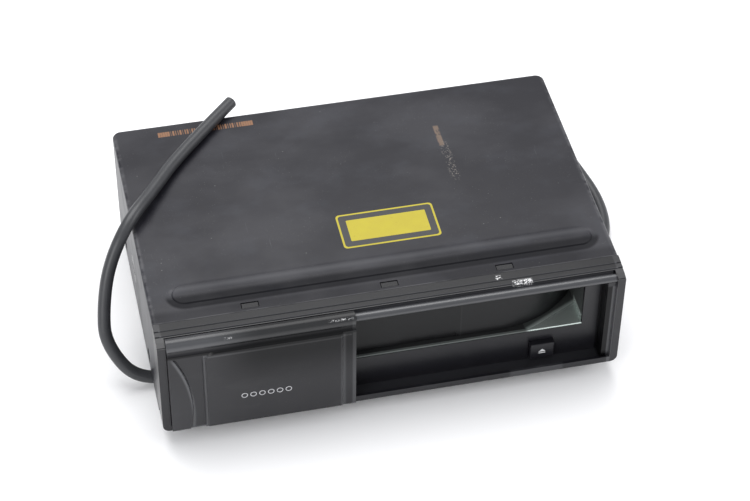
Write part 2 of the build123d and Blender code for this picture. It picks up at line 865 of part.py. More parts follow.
def pickup_sled():
    x = spindle_x - sled_inner
    y = spindle_y
    rod_z = deck_bottom_z - 2.1
    half = sled_length / 2
    wide = sled_rod_spacing / 2 + 3.4
    body = block((x - half, x + half), (y - wide, y + wide), (rod_z - 2.8, deck_top_z + 1.2))
    body = chamfer(body.faces().sort_by(Axis.Z)[-1].edges(), 0.8)
    body += bar("Z", 4.6, deck_top_z + 1, deck_top_z + 2.2, x, y)
    for side in (-1, 1):
        body -= bar(
            "X", rod_radius + bore_gap, x - 20, x + 20, y + side * sled_rod_spacing / 2, rod_z
        )
    # arm to the lead screw
    body += block(
        (x - 4, x + 4),
        (sled_screw_y - 3.6, y - wide + 0.2),
        (sled_screw_z - 3.2, rod_z - 0.6),
    )
    body -= bar("X", screw_radius + bore_gap, x - 20, x + 20, sled_screw_y, sled_screw_z)
    return body


sled_screw_y = spindle_y - 31.0
sled_screw_z = deck_bottom_z - 6.4


def pickup_lens():
    x = spindle_x - sled_inner
    z = deck_top_z + 2.2
    lens = bar("Z", 2.6, z, z + 0.5, x, spindle_y)
    return fillet(lens.faces().sort_by(Axis.Z)[-1].edges(), 0.35)


def lead_screw():
    end = spindle_x - 14.0
    return bar("X", screw_radius, deck_left_x + 0.3, end - 0.2, sled_screw_y, sled_screw_z)


def sled_motor():
    start = spindle_x - 14.0
    motor = bar("X", sled_motor_radius, start, start + sled_motor_length, sled_screw_y, sled_screw_z)
    # lug up to the deck plate
    motor += block(
        (start + 3, start + 12),
        (sled_screw_y - 4, sled_screw_y + 4),
        (sled_screw_z + 3, deck_bottom_z),
    )
    return motor


def spindle_motor():
    motor = bar(
        "Z",
        spindle_motor_radius,
        deck_bottom_z - spindle_motor_height,
        deck_bottom_z,
        spindle_x,
        spindle_y,
    )
    motor = fillet(motor.faces().sort_by(Axis.Z)[0].edges(), 1.0)
    motor += bar("Z", 3.0, deck_bottom_z - 0.1, deck_top_z + 0.4, spindle_x, spindle_y)
    return motor - bar(
        "Z", shaft_radius + bore_gap, deck_bottom_z - 7, deck_top_z + 1, spindle_x, spindle_y
    )


def turntable():
    platform_z = top_disc_z - platform_drop
    table = bar("Z", platform_radius, platform_z - 1.6, platform_z, spindle_x, spindle_y)
    boss_z = deck_top_z + 0.7
    table += bar("Z", 4.5, boss_z, platform_z, spindle_x, spindle_y)
    table += bar("Z", shaft_radius, deck_bottom_z - 6.5, platform_z, spindle_x, spindle_y)
    table += Pos(spindle_x, spindle_y, platform_z + hub_height / 2) * Cone(
        hub_radius, hub_radius - 1.2, hub_height
    )
    return table


def clamp_place(solid):
    """Turn a piece of the clamp arm from its closed, level position up to its open rest."""
    hinge = Axis((0, clamp_hinge_y, clamp_hinge_z), (1, 0, 0))
    return solid.rotate(hinge, -clamp_open_angle)


clamp_disc_gap = 0.1
puck_bottom_z = top_disc_z + disc_thickness - lift_up + clamp_disc_gap
arm_z = puck_bottom_z + puck_height + 0.3
arm_sheet = 1.0


def clamp_arm():
    half = clamp_arm_width / 2
    arm = block(
        (spindle_x - half, spindle_x + half), (spindle_y, clamp_hinge_y - 2.6), (arm_z, arm_z + arm_sheet)
    )
    arm += bar("Z", half, arm_z, arm_z + arm_sheet, spindle_x, spindle_y)
    for side in (-1, 1):
        x = spindle_x + side * (half - arm_sheet / 2)
        arm += block(
            (x - arm_sheet / 2, x + arm_sheet / 2),
            (spindle_y + 4, clamp_hinge_y - 2.0),
            (arm_z, arm_z + 3.2),
        )
    arm += bar(
        "X", clamp_hinge_radius + 1.4, spindle_x - half, spindle_x + half, clamp_hinge_y, clamp_hinge_z
    )
    arm += block(
        (spindle_x - half, spindle_x + half),
        (clamp_hinge_y - 3.6, clamp_hinge_y),
        (arm_z, clamp_hinge_z),
    )
    arm -= bar("Z", puck_neck_radius + 0.4, arm_z - 1, arm_z + 2, spindle_x, spindle_y)
    arm -= block(
        (spindle_x - 4, spindle_x + 4), (spindle_y + 24, clamp_hinge_y - 14), (arm_z - 1, arm_z + 2)
    )
    arm -= bar(
        "X",
        clamp_hinge_radius + bore_gap,
        spindle_x - 20,
        spindle_x + 20,
        clamp_hinge_y,
        clamp_hinge_z,
    )
    return clamp_place(arm)


def clamp_pin():
    half = clamp_arm_width / 2 + 1.8
    return bar("X", clamp_hinge_radius, spindle_x - half, spindle_x + half, clamp_hinge_y, clamp_hinge_z)


def clamp_puck():
    z = puck_bottom_z
    puck = bar("Z", puck_radius, z, z + puck_height, spindle_x, spindle_y)
    puck = chamfer(puck.faces().sort_by(Axis.Z)[-1].edges(), 1.0)
    puck -= bar("Z", hub_radius + 0.8, z - 1, z + 1.2, spindle_x, spindle_y)
    neck_top = arm_z + arm_sheet + 0.3
    puck += bar("Z", puck_neck_radius, z + puck_height - 0.5, neck_top, spindle_x, spindle_y)
    puck += bar("Z", puck_neck_radius + 2.2, neck_top, neck_top + 0.8, spindle_x, spindle_y)
    return clamp_place(puck)


def puller_rod():
    return bar(
        "X",
        puller_rod_radius,
        deck_left_x + 1.5,
        tray_left_x + tray_notch_inset + 5.5,
        puller_rod_y,
        puller_rod_z,
    )


def tray_puller():
    x = tray_left_x + tray_notch_inset
    front = magazine_back_y + 0.6
    finger_z = top_tray_z + 0.4
    puller = block((x - 4, x + 4), (front, puller_rod_y + 1.9), (deck_top_z + 0.4, finger_z + 1.9))
    puller -= bar("X", puller_rod_radius + bore_gap, x - 9, x + 9, puller_rod_y, puller_rod_z)
    rib_gap = puller_rib / 2 + 0.2
    puller -= block((x - 9, x + 9), (puller_rod_y - rib_gap, puller_rod_y + rib_gap), (0, puller_rod_z))
    tray_back = magazine_back_y - magazine_front_wall - tray_gap
    puller += block(
        (x - 1.5, x + 1.5),
        (tray_back - tray_notch_depth + 0.5, front + 0.1),
        (finger_z, finger_z + 1.4),
    )
    return puller


# ---------------------------------------------------------------- lift drive


def involute(angle):
    return tan(angle) - angle


def gear_face(teeth, module, turn):
    """Spur gear outline with one tooth centred on the angle given by turn, in degrees."""
    pitch = teeth * module / 2
    base = pitch * cos(radians(20))
    tip = pitch + module
    root = pitch - 1.25 * module
    half_pitch = pi / (2 * teeth) - gear_backlash / (4 * pitch)
    points = []
    for tooth in range(teeth):
        middle = radians(turn) + 2 * pi * tooth / teeth
        flank = []
        for step in range(4):
            radius = max(base, root) + (tip - max(base, root)) * step / 3
            half = half_pitch + involute(radians(20)) - involute(acos(min(1, base / radius)))
            flank.append((radius, half))
        if root < base:
            flank.insert(0, (root, flank[0][1]))
        for radius, half in flank:
            points.append((radius * cos(middle - half), radius * sin(middle - half)))
        for radius, half in reversed(flank):
            points.append((radius * cos(middle + half), radius * sin(middle + half)))
    return polygon(*points)


pinion_pitch = pinion_teeth * gear_module / 2
wheel_pitch = wheel_teeth * wheel_module / 2
motor_pinion_pitch = motor_pinion_teeth * wheel_module / 2
cam_top_z = lift_pin_z + 5.75
rack_pitch_z = cam_top_z + 1.25 * gear_module
pinion_z = rack_pitch_z + pinion_pitch
motor_x = pinion_x + wheel_pitch + motor_pinion_pitch
wheel_front_y = cam_front_y - 2.8
gear_plate_y = wheel_front_y - 1.4
gear_plate_sheet = 1.0


def place_gear(face, x, z, start, end):
    """Extrude a gear outline along Y about a point; its first angle is measured from +X to +Z."""
    return along_y(Pos(x, z) * face, start, end)


def lift_gear():
    """Compound gear: a wheel driven by the motor and a pinion that moves the cam slide."""
    wheel = place_gear(
        gear_face(wheel_teeth, wheel_module, 0), pinion_x, pinion_z, wheel_front_y, wheel_front_y + 1.9
    )
    pinion = place_gear(
        gear_face(pinion_teeth, gear_module, -90),
        pinion_x,
        pinion_z,
        wheel_front_y + 1.9,
        lift_plate_y - 0.3,
    )
    gear = wheel + pinion
    gear -= bar("Y", gear_axle_radius + bore_gap, wheel_front_y - 1, lift_plate_y + 1, pinion_x, pinion_z)
    return gear


gear_axle_radius = 1.5


def motor_pinion():
    gear = place_gear(
        gear_face(motor_pinion_teeth, wheel_module, 180 + 180 / motor_pinion_teeth),
        motor_x,
        pinion_z,
        wheel_front_y,
        wheel_front_y + 2.2,
    )
    return gear - bar(
        "Y", motor_shaft_radius + bore_gap, wheel_front_y - 1, wheel_front_y + 4, motor_x, pinion_z
    )


motor_shaft_radius = 1.0


def gear_axle():
    return bar("Y", gear_axle_radius, gear_plate_y, lift_plate_y, pinion_x, pinion_z)


def lift_motor():
    back = gear_plate_y
    motor = bar("Y", lift_motor_radius, back - lift_motor_length, back, motor_x, pinion_z)
    motor -= block(
        (motor_x - 12, motor_x + 12),
        (back - 20, back + 1),
        (pinion_z + lift_motor_radius - 2, pinion_z + 12),
    )
    motor -= block(
        (motor_x - 12, motor_x + 12),
        (back - 20, back + 1),
        (pinion_z - 12, pinion_z - lift_motor_radius + 2),
    )
    motor += bar("Y", motor_shaft_radius, back - 0.5, wheel_front_y + 2.6, motor_x, pinion_z)
    return motor


def gear_plate():
    """Plate that carries the motor, on two spacers from the lift plate."""
    left, right = pinion_x - 8, motor_x + lift_motor_radius + 3
    bottom, top = pinion_z - 6, pinion_z + 10.5
    plate = block((left, right), (gear_plate_y, gear_plate_y + gear_plate_sheet), (bottom, top))
    plate -= bar("Y", gear_axle_radius, gear_plate_y - 1, gear_plate_y + 2, pinion_x, pinion_z)
    plate -= bar("Y", 2.2, gear_plate_y - 1, gear_plate_y + 2, motor_x, pinion_z)
    for z in (bottom + 2.5, top - 2.5):
        plate += bar("Y", 1.8, gear_plate_y + 0.5, lift_plate_y, right - 3, z)
    return plate


def cam_slide():
    """Sheet slide with two slots at 45 degrees that carry the deck's pins, and a rack on top."""
    left = lift_pin_x[0] - lift_down - lift_pin_radius - 2.6
    right = pinion_x + lift_up + 1.5 * pi * gear_module * 2
    bottom = lift_pin_z - lift_down - lift_pin_radius - 2.8
    plate = block(
        (left, right), (cam_front_y, cam_front_y + cam_sheet), (bottom, cam_top_z)
    )
    plate -= block(
        (lift_pin_x[1] + 12, right + 1),
        (cam_front_y - 1, cam_front_y + 3),
        (bottom - 1, cam_top_z - 7),
    )
    for x in lift_pin_x:
        slot = slot_face(
            x - lift_down - 0.5,
            lift_pin_z - lift_down - 0.5,
            x + lift_up + 0.5,
            lift_pin_z + lift_up + 0.5,
            lift_pin_radius + lift_pin_gap,
        )
        plate -= along_y(slot, cam_front_y - 1, cam_front_y + 3)
    # rack teeth: a gap stays under the pinion's lowest tooth at rest
    pitch = pi * gear_module
    half = pitch / 4 - gear_backlash / 4
    slope = tan(radians(20))
    first = -int((lift_down + 9) / pitch) - 1
    last = int((lift_up + 6) / pitch)
    for index in range(first, last):
        x = pinion_x + (index + 0.5) * pitch
        root = half + 1.25 * gear_module * slope
        tip = half - gear_module * slope
        tooth = polygon(
            (x - root, cam_top_z - 0.01),
            (x + root, cam_top_z - 0.01),
            (x + tip, rack_pitch_z + gear_module),
            (x - tip, rack_pitch_z + gear_module),
        )
        plate += along_y(tooth, cam_front_y, cam_front_y + cam_sheet)
    return plate


def lift_plate():
    """Fixed upright sheet with a vertical slot for each deck pin and a fold over the posts."""
    foot = floating_z + floating_sheet
    top = base_z + lift_plate_rise
    left = deck_left_x
    plate = block(
        (left, motor_x + lift_motor_radius + 3),
        (lift_plate_y, lift_plate_y + lift_plate_sheet),
        (foot, top),
    )
    plate -= block(
        (post_positions[1][0] + 10, motor_x + 30),
        (lift_plate_y - 1, lift_plate_y + 3),
        (foot - 1, pinion_z - 16),
    )
    for x in lift_pin_x:
        slot = slot_face(
            x,
            lift_pin_z - lift_down - 0.5,
            x,
            lift_pin_z + lift_up + 0.5,
            lift_pin_radius + lift_pin_gap,
        )
        plate -= along_y(slot, lift_plate_y - 1, lift_plate_y + 3)
    plate += block(
        (left, post_positions[1][0] + 5),
        (post_positions[0][1] - post_radius - 2, lift_plate_y + lift_plate_sheet),
        (top, top + lift_plate_sheet),
    )
    return plate


def guide_posts():
    foot = floating_z + floating_sheet
    top = base_z + lift_plate_rise
    return [bar("Z", post_radius, foot, top, x, y) for x, y in post_positions]


# ---------------------------------------------------------------- base, board, feet, dials


def floating_base():
    x = cover_inside_x - chassis_wall - 3.5
    base = block(
        (-x, x), (seam_y + 3, cover_inside_y - 4), (floating_z, floating_z + floating_sheet)
    )
    for side in (-1, 1):
        for y in (foot_front_y, foot_rear_y):
            base -= Pos(side * (foot_x + 6), y, floating_z) * Box(32, 18, 4)
        for y in (bracket_front_y, bracket_rear_y):
            base -= Pos(side * x, y, floating_z) * Box(8, 12, 4)
    # notch for the button's spring, in front of its board
    base -= block(
        (button_x - 14, button_x + 14), (seam_y, switch_board_y), (floating_z - 1, floating_z + 2)
    )
    # opening under the lowered deck
    base -= block(
        (deck_left_x + 8, deck_right_x - 6),
        (deck_front_y + 6, deck_rear_y - 36.0),
        (floating_z - 1, floating_z + 2),
    )
    for dx, dy in damper_positions:
        base -= bar("Z", 2.2, floating_z - 1, floating_z + 2, dx, dy)
    return base


def rubber_dampers():
    """Rubber dampers: a waisted body and a nipple through the floating base."""
    dampers = []
    waist = 1.5
    for x, y in damper_positions:
        middle = (chassis_top_z + floating_z) / 2
        profile = make_face(
            Wire(
                [
                    Line((0, chassis_top_z), (damper_radius, chassis_top_z)),
                    ThreePointArc(
                        (damper_radius, chassis_top_z),
                        (damper_radius - waist, middle),
                        (damper_radius, floating_z),
                    ),
                    Line((damper_radius, floating_z), (2.1, floating_z)),
                    Line((2.1, floating_z), (2.1, floating_z + 3)),
                    Line((2.1, floating_z + 3), (0, floating_z + 3)),
                    Line((0, floating_z + 3), (0, chassis_top_z)),
                ]
            )
        )
        dampers.append(Pos(x, y, 0) * revolve(Plane.XZ * profile, Axis.Z))
    return dampers


board_z = floating_z + 5.0
board_left_x = magazine_left_x + 4
board_right_x = 100.0
board_front_y = face_y + 30.25
board_back_y = rear_y - 37.75
board_sheet = 1.6
# place as shares of the board's width and depth, then width, depth and height
board_packages = (
    (0.32, 0.33, 14.0, 14.0, 1.6),
    (0.06, 0.23, 10.0, 10.0, 1.4),
    (0.57, 0.52, 12.0, 8.0, 1.4),
    (0.72, 0.13, 18.0, 7.0, 5.0),
    (0.03, 0.62, 8.0, 20.0, 5.0),
    (0.48, 0.12, 11.0, 4.0, 2.4),
)
board_capacitors = ((0.74, 0.71), (0.82, 0.71), (0.74, 0.81), (0.27, 0.81), (0.18, 0.85))
capacitor_radius = 3.2
capacitor_height = 5.5


def board_standoffs():
    stands = []
    for x in (board_left_x + 5, board_right_x - 5):
        for y in (board_front_y + 5, board_back_y - 5):
            stands.append(bar("Z", 2.5, floating_z + floating_sheet, board_z, x, y))
    return stands


def main_board():
    board = block((board_left_x, board_right_x), (board_front_y, board_back_y), (board_z, board_z + board_sheet))
    for x in (board_left_x + 5, board_right_x - 5):
        for y in (board_front_y + 5, board_back_y - 5):
            board -= bar("Z", 1.4, board_z - 1, board_z + 3, x, y)
    return board


def board_parts():
    """Chips, capacitors, a crystal can and connectors on the board."""
    z = board_z + board_sheet
    width, depth = board_right_x - board_left_x, board_back_y - board_front_y
    parts = []
    for across, along, size_x, size_y, height in board_packages:
        x, y = board_left_x + across * width, board_front_y + along * depth
        parts.append(block((x, x + size_x), (y, y + size_y), (z, z + height)))
    for across, along in board_capacitors:
        x, y = board_left_x + across * width, board_front_y + along * depth
        parts.append(bar("Z", capacitor_radius, z, z + capacitor_height, x, y))
    return parts


def rubber_feet():
    feet = []
    for side in (-1, 1):
        for y in (foot_front_y, foot_rear_y):
            foot = Pos(side * foot_x, y, foot_height / 2) * Cone(foot_radius - 1, foot_radius, foot_height)
            feet.append(foot - bar("Z", insert_radius, -1, foot_height + 1, side * foot_x, y))
    return feet


def foot_inserts():
    inserts = []
    for side in (-1, 1):
        for y in (foot_front_y, foot_rear_y):
            x = side * foot_x
            insert = bar("Z", insert_radius, 0.8, chassis_top_z + 1.0, x, y)
            insert += bar("Z", insert_radius + 1.8, chassis_top_z, chassis_top_z + 1.6, x, y)
            inserts.append(insert - bar("Z", insert_hole_radius, -1, chassis_top_z + 3, x, y))
    return inserts


def side_dial(side):
    """Dial for the fitting angle, flush in the cover's side, with a coin slot."""
    outer = side * half_width
    wall = side * (cover_inside_x - 0.1)
    inner = wall - side * 1.4
    z = base_z + dial_rise
    dial = bar("X", dial_radius, min(outer, wall), max(outer, wall), dial_y, z)
    dial += bar("X", dial_radius + 1.8, min(wall, inner), max(wall, inner), dial_y, z)
    depth = outer - side * 0.7
    slot = Pos(0, dial_y, z) * Box(2 * half_width + 2, 10.5, 2.0)
    slot &= block((min(outer, depth), max(outer, depth)), (-100, 100), (0, 100))
    return dial - slot


def cover_screws():
    return cover_screw_set(0)


# ---------------------------------------------------------------- cable

gland_neck_radius = 5.8
gland_flange_radius = 9.0
gland_boot_length = 22.0
gland_z = base_z + gland_rise
cable_start_y = rear_y + 2.0 + gland_boot_length
floor_z = cable_radius + 0.15

# Route of the cable from the gland, round the right side, under the body, up past the left
# side and back over the top, ending cut just past the rear edge.
cable_route = [
    (gland_x, cable_start_y, gland_z),
    (gland_x, cable_start_y + 21.3, gland_z),
    (gland_x + 12.0, cable_start_y + 35.8, gland_z - 8.0),
    (gland_x + 30.0, cable_start_y + 41.5, gland_z - 15.3),
    (gland_x + 52.0, cable_start_y + 37.0, floor_z + 0.2),
    (gland_x + 72.0, cable_start_y + 22.5, floor_z),
    (gland_x + 85.0, cable_start_y - 2.0, floor_z),
    (151.0, 81.0, floor_z),
    (156.8, 49.5, floor_z),
    (153.4, 21.0, floor_z),
    (137.5, -3.5, floor_z),
    (111.0, -16.5, floor_z),
    (62.0, -24.0, floor_z),
    (8.0, -24.5, floor_z),
    (-46.0, -28.0, floor_z),
    (-96.0, -36.0, floor_z),
    (-134.5, -41.5, floor_z + 0.2),
    (-150.5, -30.2, 26.8),
    (-148.8, -19.5, 45.0),
    (-143.0, -8.5, 65.0),
    (-129.5, 4.0, 84.0),
    (-112.0, 28.5, 81.8),
    (-93.5, 56.5, 79.9),
    (-57.0, 94.5, 80.3),
]


def arc_radii(points):
    """Each corner's largest arc: 0.45 of its shorter run over the tangent of half the turn."""
    radii = []
    for before, here, after in zip(points, points[1:], points[2:]):
        a, b = Vector(*here) - Vector(*before), Vector(*after) - Vector(*here)
        turn = radians(a.get_angle(b))
        radii.append(0.45 * min(a.length, b.length) / tan(turn / 2))
    return radii


def cable():
    radii = arc_radii(cable_route)
    path = FilletPolyline(*cable_route, radius=radii)
    section = Plane(origin=path @ 0, z_dir=path % 0) * Circle(cable_radius)
    tube = sweep(section, path=path)
    print("cable length", round(path.length, 1), "radii", [round(r) for r in radii])
    print("cable volume over section times length", tube.volume / (pi * cable_radius**2 * path.length))
    return tube


def cable_gland():
    gland = bar("Y", gland_flange_radius, rear_y, rear_y + 2.0, gland_x, gland_z)
    inside = cover_inside_y - sheet_gap - chassis_wall - 0.1
    gland += bar("Y", gland_neck_radius, inside - 0.1, rear_y + 0.1, gland_x, gland_z)
    gland += bar("Y", gland_neck_radius + 1.6, inside - 2.0, inside, gland_x, gland_z)
    boot = Plane(origin=(gland_x, rear_y + 2.0, gland_z), z_dir=(0, 1, 0)) * Cone(
        6.6, cable_radius + 1.0, gland_boot_length, align=(Align.CENTER, Align.CENTER, Align.MIN)
    )
    return gland + boot


# ---------------------------------------------------------------- export


def nodes():
    yield "top_cover", top_cover()
    yield "bottom_chassis", bottom_chassis()
    yield "front_bezel", front_bezel()
    yield "sliding_door", sliding_door()
    yield "eject_button", eject_button()
    yield "button_spring", button_spring()
    yield "eject_switch", eject_switch()
    yield "switch_board", switch_board()
    yield "magazine_bay", magazine_bay()
    yield "bay_roof", bay_roof()
    yield "magazine_shell", magazine_shell()
    for index in range(tray_count):
        yield f"disc_tray_{index + 1}", disc_tray(index)
        yield f"disc_{index + 1}", disc(index)
    yield "deck_plate", deck_plate()
    yield "sled_rods", sled_rods()
    yield "pickup_sled", pickup_sled()
    yield "pickup_lens", pickup_lens()
    yield "lead_screw", lead_screw()
    yield "sled_motor", sled_motor()
    yield "spindle_motor", spindle_motor()
    yield "turntable", turntable()
    yield "clamp_arm", clamp_arm()
    yield "clamp_pin", clamp_pin()
    yield "clamp_puck", clamp_puck()
    yield "puller_rod", puller_rod()
    yield "tray_puller", tray_puller()
    yield "lift_gear", lift_gear()
    yield "motor_pinion", motor_pinion()
    yield "gear_axle", gear_axle()
    yield "lift_motor", lift_motor()
    yield "gear_plate", gear_plate()
    yield "cam_slide", cam_slide()
    yield "lift_plate", lift_plate()
    yield "guide_posts", guide_posts()
    yield "floating_base", floating_base()
    yield "rubber_dampers", rubber_dampers()
    yield "board_standoffs", board_standoffs()
    yield "main_board", main_board()
    yield "board_parts", board_parts()
    yield "rubber_feet", rubber_feet()
    yield "foot_inserts", foot_inserts()
    yield "left_dial", side_dial(-1)
    yield "right_dial", side_dial(1)
    yield "cover_screws", cover_screws()
    yield "cable", cable()
    yield "cable_gland", cable_gland()


os.makedirs("parts", exist_ok=True)
for name, shape in nodes():
    if isinstance(shape, list):
        shape = Compound(children=shape)
    export_step(shape, f"parts/{name}.step")
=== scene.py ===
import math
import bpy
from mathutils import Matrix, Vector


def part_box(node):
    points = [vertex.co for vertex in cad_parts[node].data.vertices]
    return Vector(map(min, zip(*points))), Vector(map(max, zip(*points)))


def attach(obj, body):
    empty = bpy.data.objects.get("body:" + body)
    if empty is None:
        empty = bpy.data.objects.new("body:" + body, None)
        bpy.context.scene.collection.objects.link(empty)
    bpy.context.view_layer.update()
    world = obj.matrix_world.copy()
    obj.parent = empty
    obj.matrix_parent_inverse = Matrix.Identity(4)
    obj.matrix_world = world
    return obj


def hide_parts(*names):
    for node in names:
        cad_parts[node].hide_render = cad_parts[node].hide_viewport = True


bl_info = {
    "name": "Car Disc Changer",
    "version": (1, 0, 0),
    "blender": (4, 5, 0),
    "location": "3D View > Sidebar > Disc Changer",
    "description": "Dresses a six-disc car changer: finishes, sticker, prints, cable and studio",
    "category": "Add Mesh",
}

import bpy
import numpy as np
from mathutils import Vector

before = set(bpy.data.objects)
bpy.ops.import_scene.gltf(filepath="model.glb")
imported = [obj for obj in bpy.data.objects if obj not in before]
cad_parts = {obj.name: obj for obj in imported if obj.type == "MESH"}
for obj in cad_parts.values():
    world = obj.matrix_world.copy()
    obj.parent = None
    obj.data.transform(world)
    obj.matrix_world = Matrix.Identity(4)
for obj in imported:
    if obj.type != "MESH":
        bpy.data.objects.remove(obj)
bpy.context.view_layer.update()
MM = 0.001

# ---- places read from the frame ----
COVER_LOW, COVER_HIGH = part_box("top_cover")
BEZEL_LOW, BEZEL_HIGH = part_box("front_bezel")
DOOR_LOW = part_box("sliding_door")[0]
BUTTON_LOW, BUTTON_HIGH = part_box("eject_button")
GLAND_LOW, GLAND_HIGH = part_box("cable_gland")
TOP_Z = BEZEL_HIGH.z + 0.1 * MM
SEAM_Y = COVER_LOW.y
FACE_Y = BEZEL_LOW.y

# ---- camera: solved from thirty points of the case in the photograph ----
PHOTO_WIDTH = 750
CAMERA_PLACE = Vector((-0.2016, -0.90495, 0.9493))
CAMERA_TARGET = Vector((-0.0009, -0.03775, 0.076))
CAMERA_ROLL = math.radians(0.8)
CAMERA_FOCUS_PX = 2297.9

# ---- cable route, the same points as the solid's, in millimetres ----
CABLE_RADIUS = 3.6
GLAND_X, GLAND_Z, CABLE_START_Y = 60.0, 22.0, 111.75
FLOOR_Z = CABLE_RADIUS + 0.15
CABLE_ROUTE = [
    (GLAND_X, CABLE_START_Y, GLAND_Z),
    (GLAND_X, CABLE_START_Y + 21.3, GLAND_Z),
    (GLAND_X + 12.0, CABLE_START_Y + 35.8, GLAND_Z - 8.0),
    (GLAND_X + 30.0, CABLE_START_Y + 41.5, GLAND_Z - 15.3),
    (GLAND_X + 52.0, CABLE_START_Y + 37.0, FLOOR_Z + 0.2),
    (GLAND_X + 72.0, CABLE_START_Y + 22.5, FLOOR_Z),
    (GLAND_X + 85.0, CABLE_START_Y - 2.0, FLOOR_Z),
    (151.0, 81.0, FLOOR_Z),
    (156.8, 49.5, FLOOR_Z),
    (153.4, 21.0, FLOOR_Z),
    (137.5, -3.5, FLOOR_Z),
    (111.0, -16.5, FLOOR_Z),
    (62.0, -24.0, FLOOR_Z),
    (8.0, -24.5, FLOOR_Z),
    (-46.0, -28.0, FLOOR_Z),
    (-96.0, -36.0, FLOOR_Z),
    (-134.5, -41.5, FLOOR_Z + 0.2),
    (-150.5, -30.2, 26.8),
    (-148.8, -19.5, 45.0),
    (-143.0, -8.5, 65.0),
    (-129.5, 4.0, 84.0),
    (-112.0, 28.5, 81.8),
    (-93.5, 56.5, 79.9),
    (-57.0, 94.5, 80.3),
]


# ================================================================ shader maths


class Value:
    """A shader socket that takes part in ordinary arithmetic by adding Math nodes."""

    def __init__(self, finish, socket):
        self.finish = finish
        self.socket = socket

    def _math(self, operation, *terms, clamp=False):
        settings = {"operation": operation, "use_clamp": clamp}
        return self.finish.node("ShaderNodeMath", settings, *terms)

    def __add__(self, other):
        return self._math("ADD", self, other)

    def __sub__(self, other):
        return self._math("SUBTRACT", self, other)

    def __rsub__(self, other):
        return self._math("SUBTRACT", other, self)

    def __mul__(self, other):
        return self._math("MULTIPLY", self, other)

    __radd__ = __add__
    __rmul__ = __mul__

    def absolute(self):
        return self._math("ABSOLUTE", self)

    def sine(self):
        return self._math("SINE", self)

    def root(self):
        return self._math("SQRT", self)

    def clamped(self):
        return self._math("ADD", self, 0.0, clamp=True)

    def highest(self, other):
        return self._math("MAXIMUM", self, other)

    def ramp(self, start, end):
        """0 below start, 1 above end and a smooth rise between them; start may be the larger."""
        settings = {"interpolation_type": "SMOOTHSTEP"}
        if start < end:
            return self.finish.node("ShaderNodeMapRange", settings, self, start, end, 0.0, 1.0)
        return self.finish.node("ShaderNodeMapRange", settings, self, end, start, 1.0, 0.0)


class Finish:
    """One material: a Principled shader whose varying inputs are fed with worked-out values."""

    def __init__(self, name, **constants):
        self.material = bpy.data.materials.new(name)
        self.material.use_nodes = True
        self.tree = self.material.node_tree
        self.tree.nodes.clear()
        self.shader = self.tree.nodes.new("ShaderNodeBsdfPrincipled")
        output = self.tree.nodes.new("ShaderNodeOutputMaterial")
        self.tree.links.new(self.shader.outputs["BSDF"], output.inputs["Surface"])
        for socket, value in constants.items():
            self.shader.inputs[socket.replace("_", " ")].default_value = value
        coordinates = self.tree.nodes.new("ShaderNodeTexCoord")
        self.place = Value(self, coordinates.outputs["Object"])
        split = self.tree.nodes.new("ShaderNodeSeparateXYZ")
        self.tree.links.new(coordinates.outputs["Object"], split.inputs[0])
        self.x, self.y, self.z = (Value(self, split.outputs[axis]) for axis in "XYZ")

    def plug(self, socket, value):
        """Links a worked-out value to a socket, or sets a plain one on it."""
        if isinstance(value, Value):
            self.tree.links.new(value.socket, socket)
        else:
            socket.default_value = value

    def node(self, kind, settings, *inputs, result=0, **named):
        """Adds any node: its settings, its inputs in order or by name, and the output wanted."""
        made = self.tree.nodes.new(kind)
        for setting, value in settings.items():
            setattr(made, setting, value)
        for socket, value in zip(made.inputs, inputs):
            self.plug(socket, value)
        for socket, value in named.items():
            self.plug(made.inputs[socket], value)
        return Value(self, made.outputs[result])

    def noise(self, size, detail=3.0, stretch=(1, 1, 1)):
        """Noise whose blobs are about that size in metres; stretch lengthens them along an axis."""
        scale = tuple(1 / s for s in stretch)
        settings = {"vector_type": "POINT"}
        mapped = self.node("ShaderNodeMapping", settings, self.place, Scale=scale)
        return self.node(
            "ShaderNodeTexNoise",
            {"noise_dimensions": "3D"},
            Vector=mapped,
            Scale=1 / size,
            Detail=detail,
            Roughness=0.55,
        )

    def cells(self, size):
        """Distance to the nearest of scattered points, about one to each size in metres."""
        return self.node(
            "ShaderNodeTexVoronoi", {"feature": "F1"}, Vector=self.place, Scale=1 / size
        )

    def mix(self, factor, first, second):
        """Colour mix; each colour is three numbers or a colour value."""
        made = self.tree.nodes.new("ShaderNodeMix")
        made.data_type = "RGBA"
        self.plug(made.inputs[0], factor)
        for socket, colour in ((made.inputs[6], first), (made.inputs[7], second)):
            self.plug(socket, colour if isinstance(colour, Value) else (*colour, 1.0))
        return Value(self, made.outputs[2])

    def within(self, axis, low, high, soft):
        """1 between two limits along an axis, with soft edges, all three in millimetres."""
        rise = axis.ramp((low - soft) * MM, (low + soft) * MM)
        return rise * axis.ramp((high + soft) * MM, (high - soft) * MM)

    def patch(self, x, y, z, soft):
        """1 inside a box with soft edges, in millimetres."""
        across = self.within(self.x, *x, soft) * self.within(self.y, *y, soft)
        return across * self.within(self.z, *z, soft)

    def colour(self, value):
        """Base colour, as three numbers or as a colour value."""
        if not isinstance(value, Value):
            value = (*value, 1.0)
        self.plug(self.shader.inputs["Base Color"], value)

    def feed(self, socket, value):
        self.plug(self.shader.inputs[socket], value)

    def relief(self, height):
        """Bump from a height in metres."""
        bump = self.tree.nodes.new("ShaderNodeBump")
        bump.inputs["Strength"].default_value = 1.0
        bump.inputs["Distance"].default_value = 1.0
        self.tree.links.new(height.socket, bump.inputs["Height"])
        self.tree.links.new(bump.outputs["Normal"], self.shader.inputs["Normal"])

    def onto(self, *names):
        """Puts the finish on named solids of the frame."""
        for name in names:
            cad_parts[name].data.materials.clear()
            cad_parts[name].data.materials.append(self.material)
        return self.material


# ================================================================ finishes


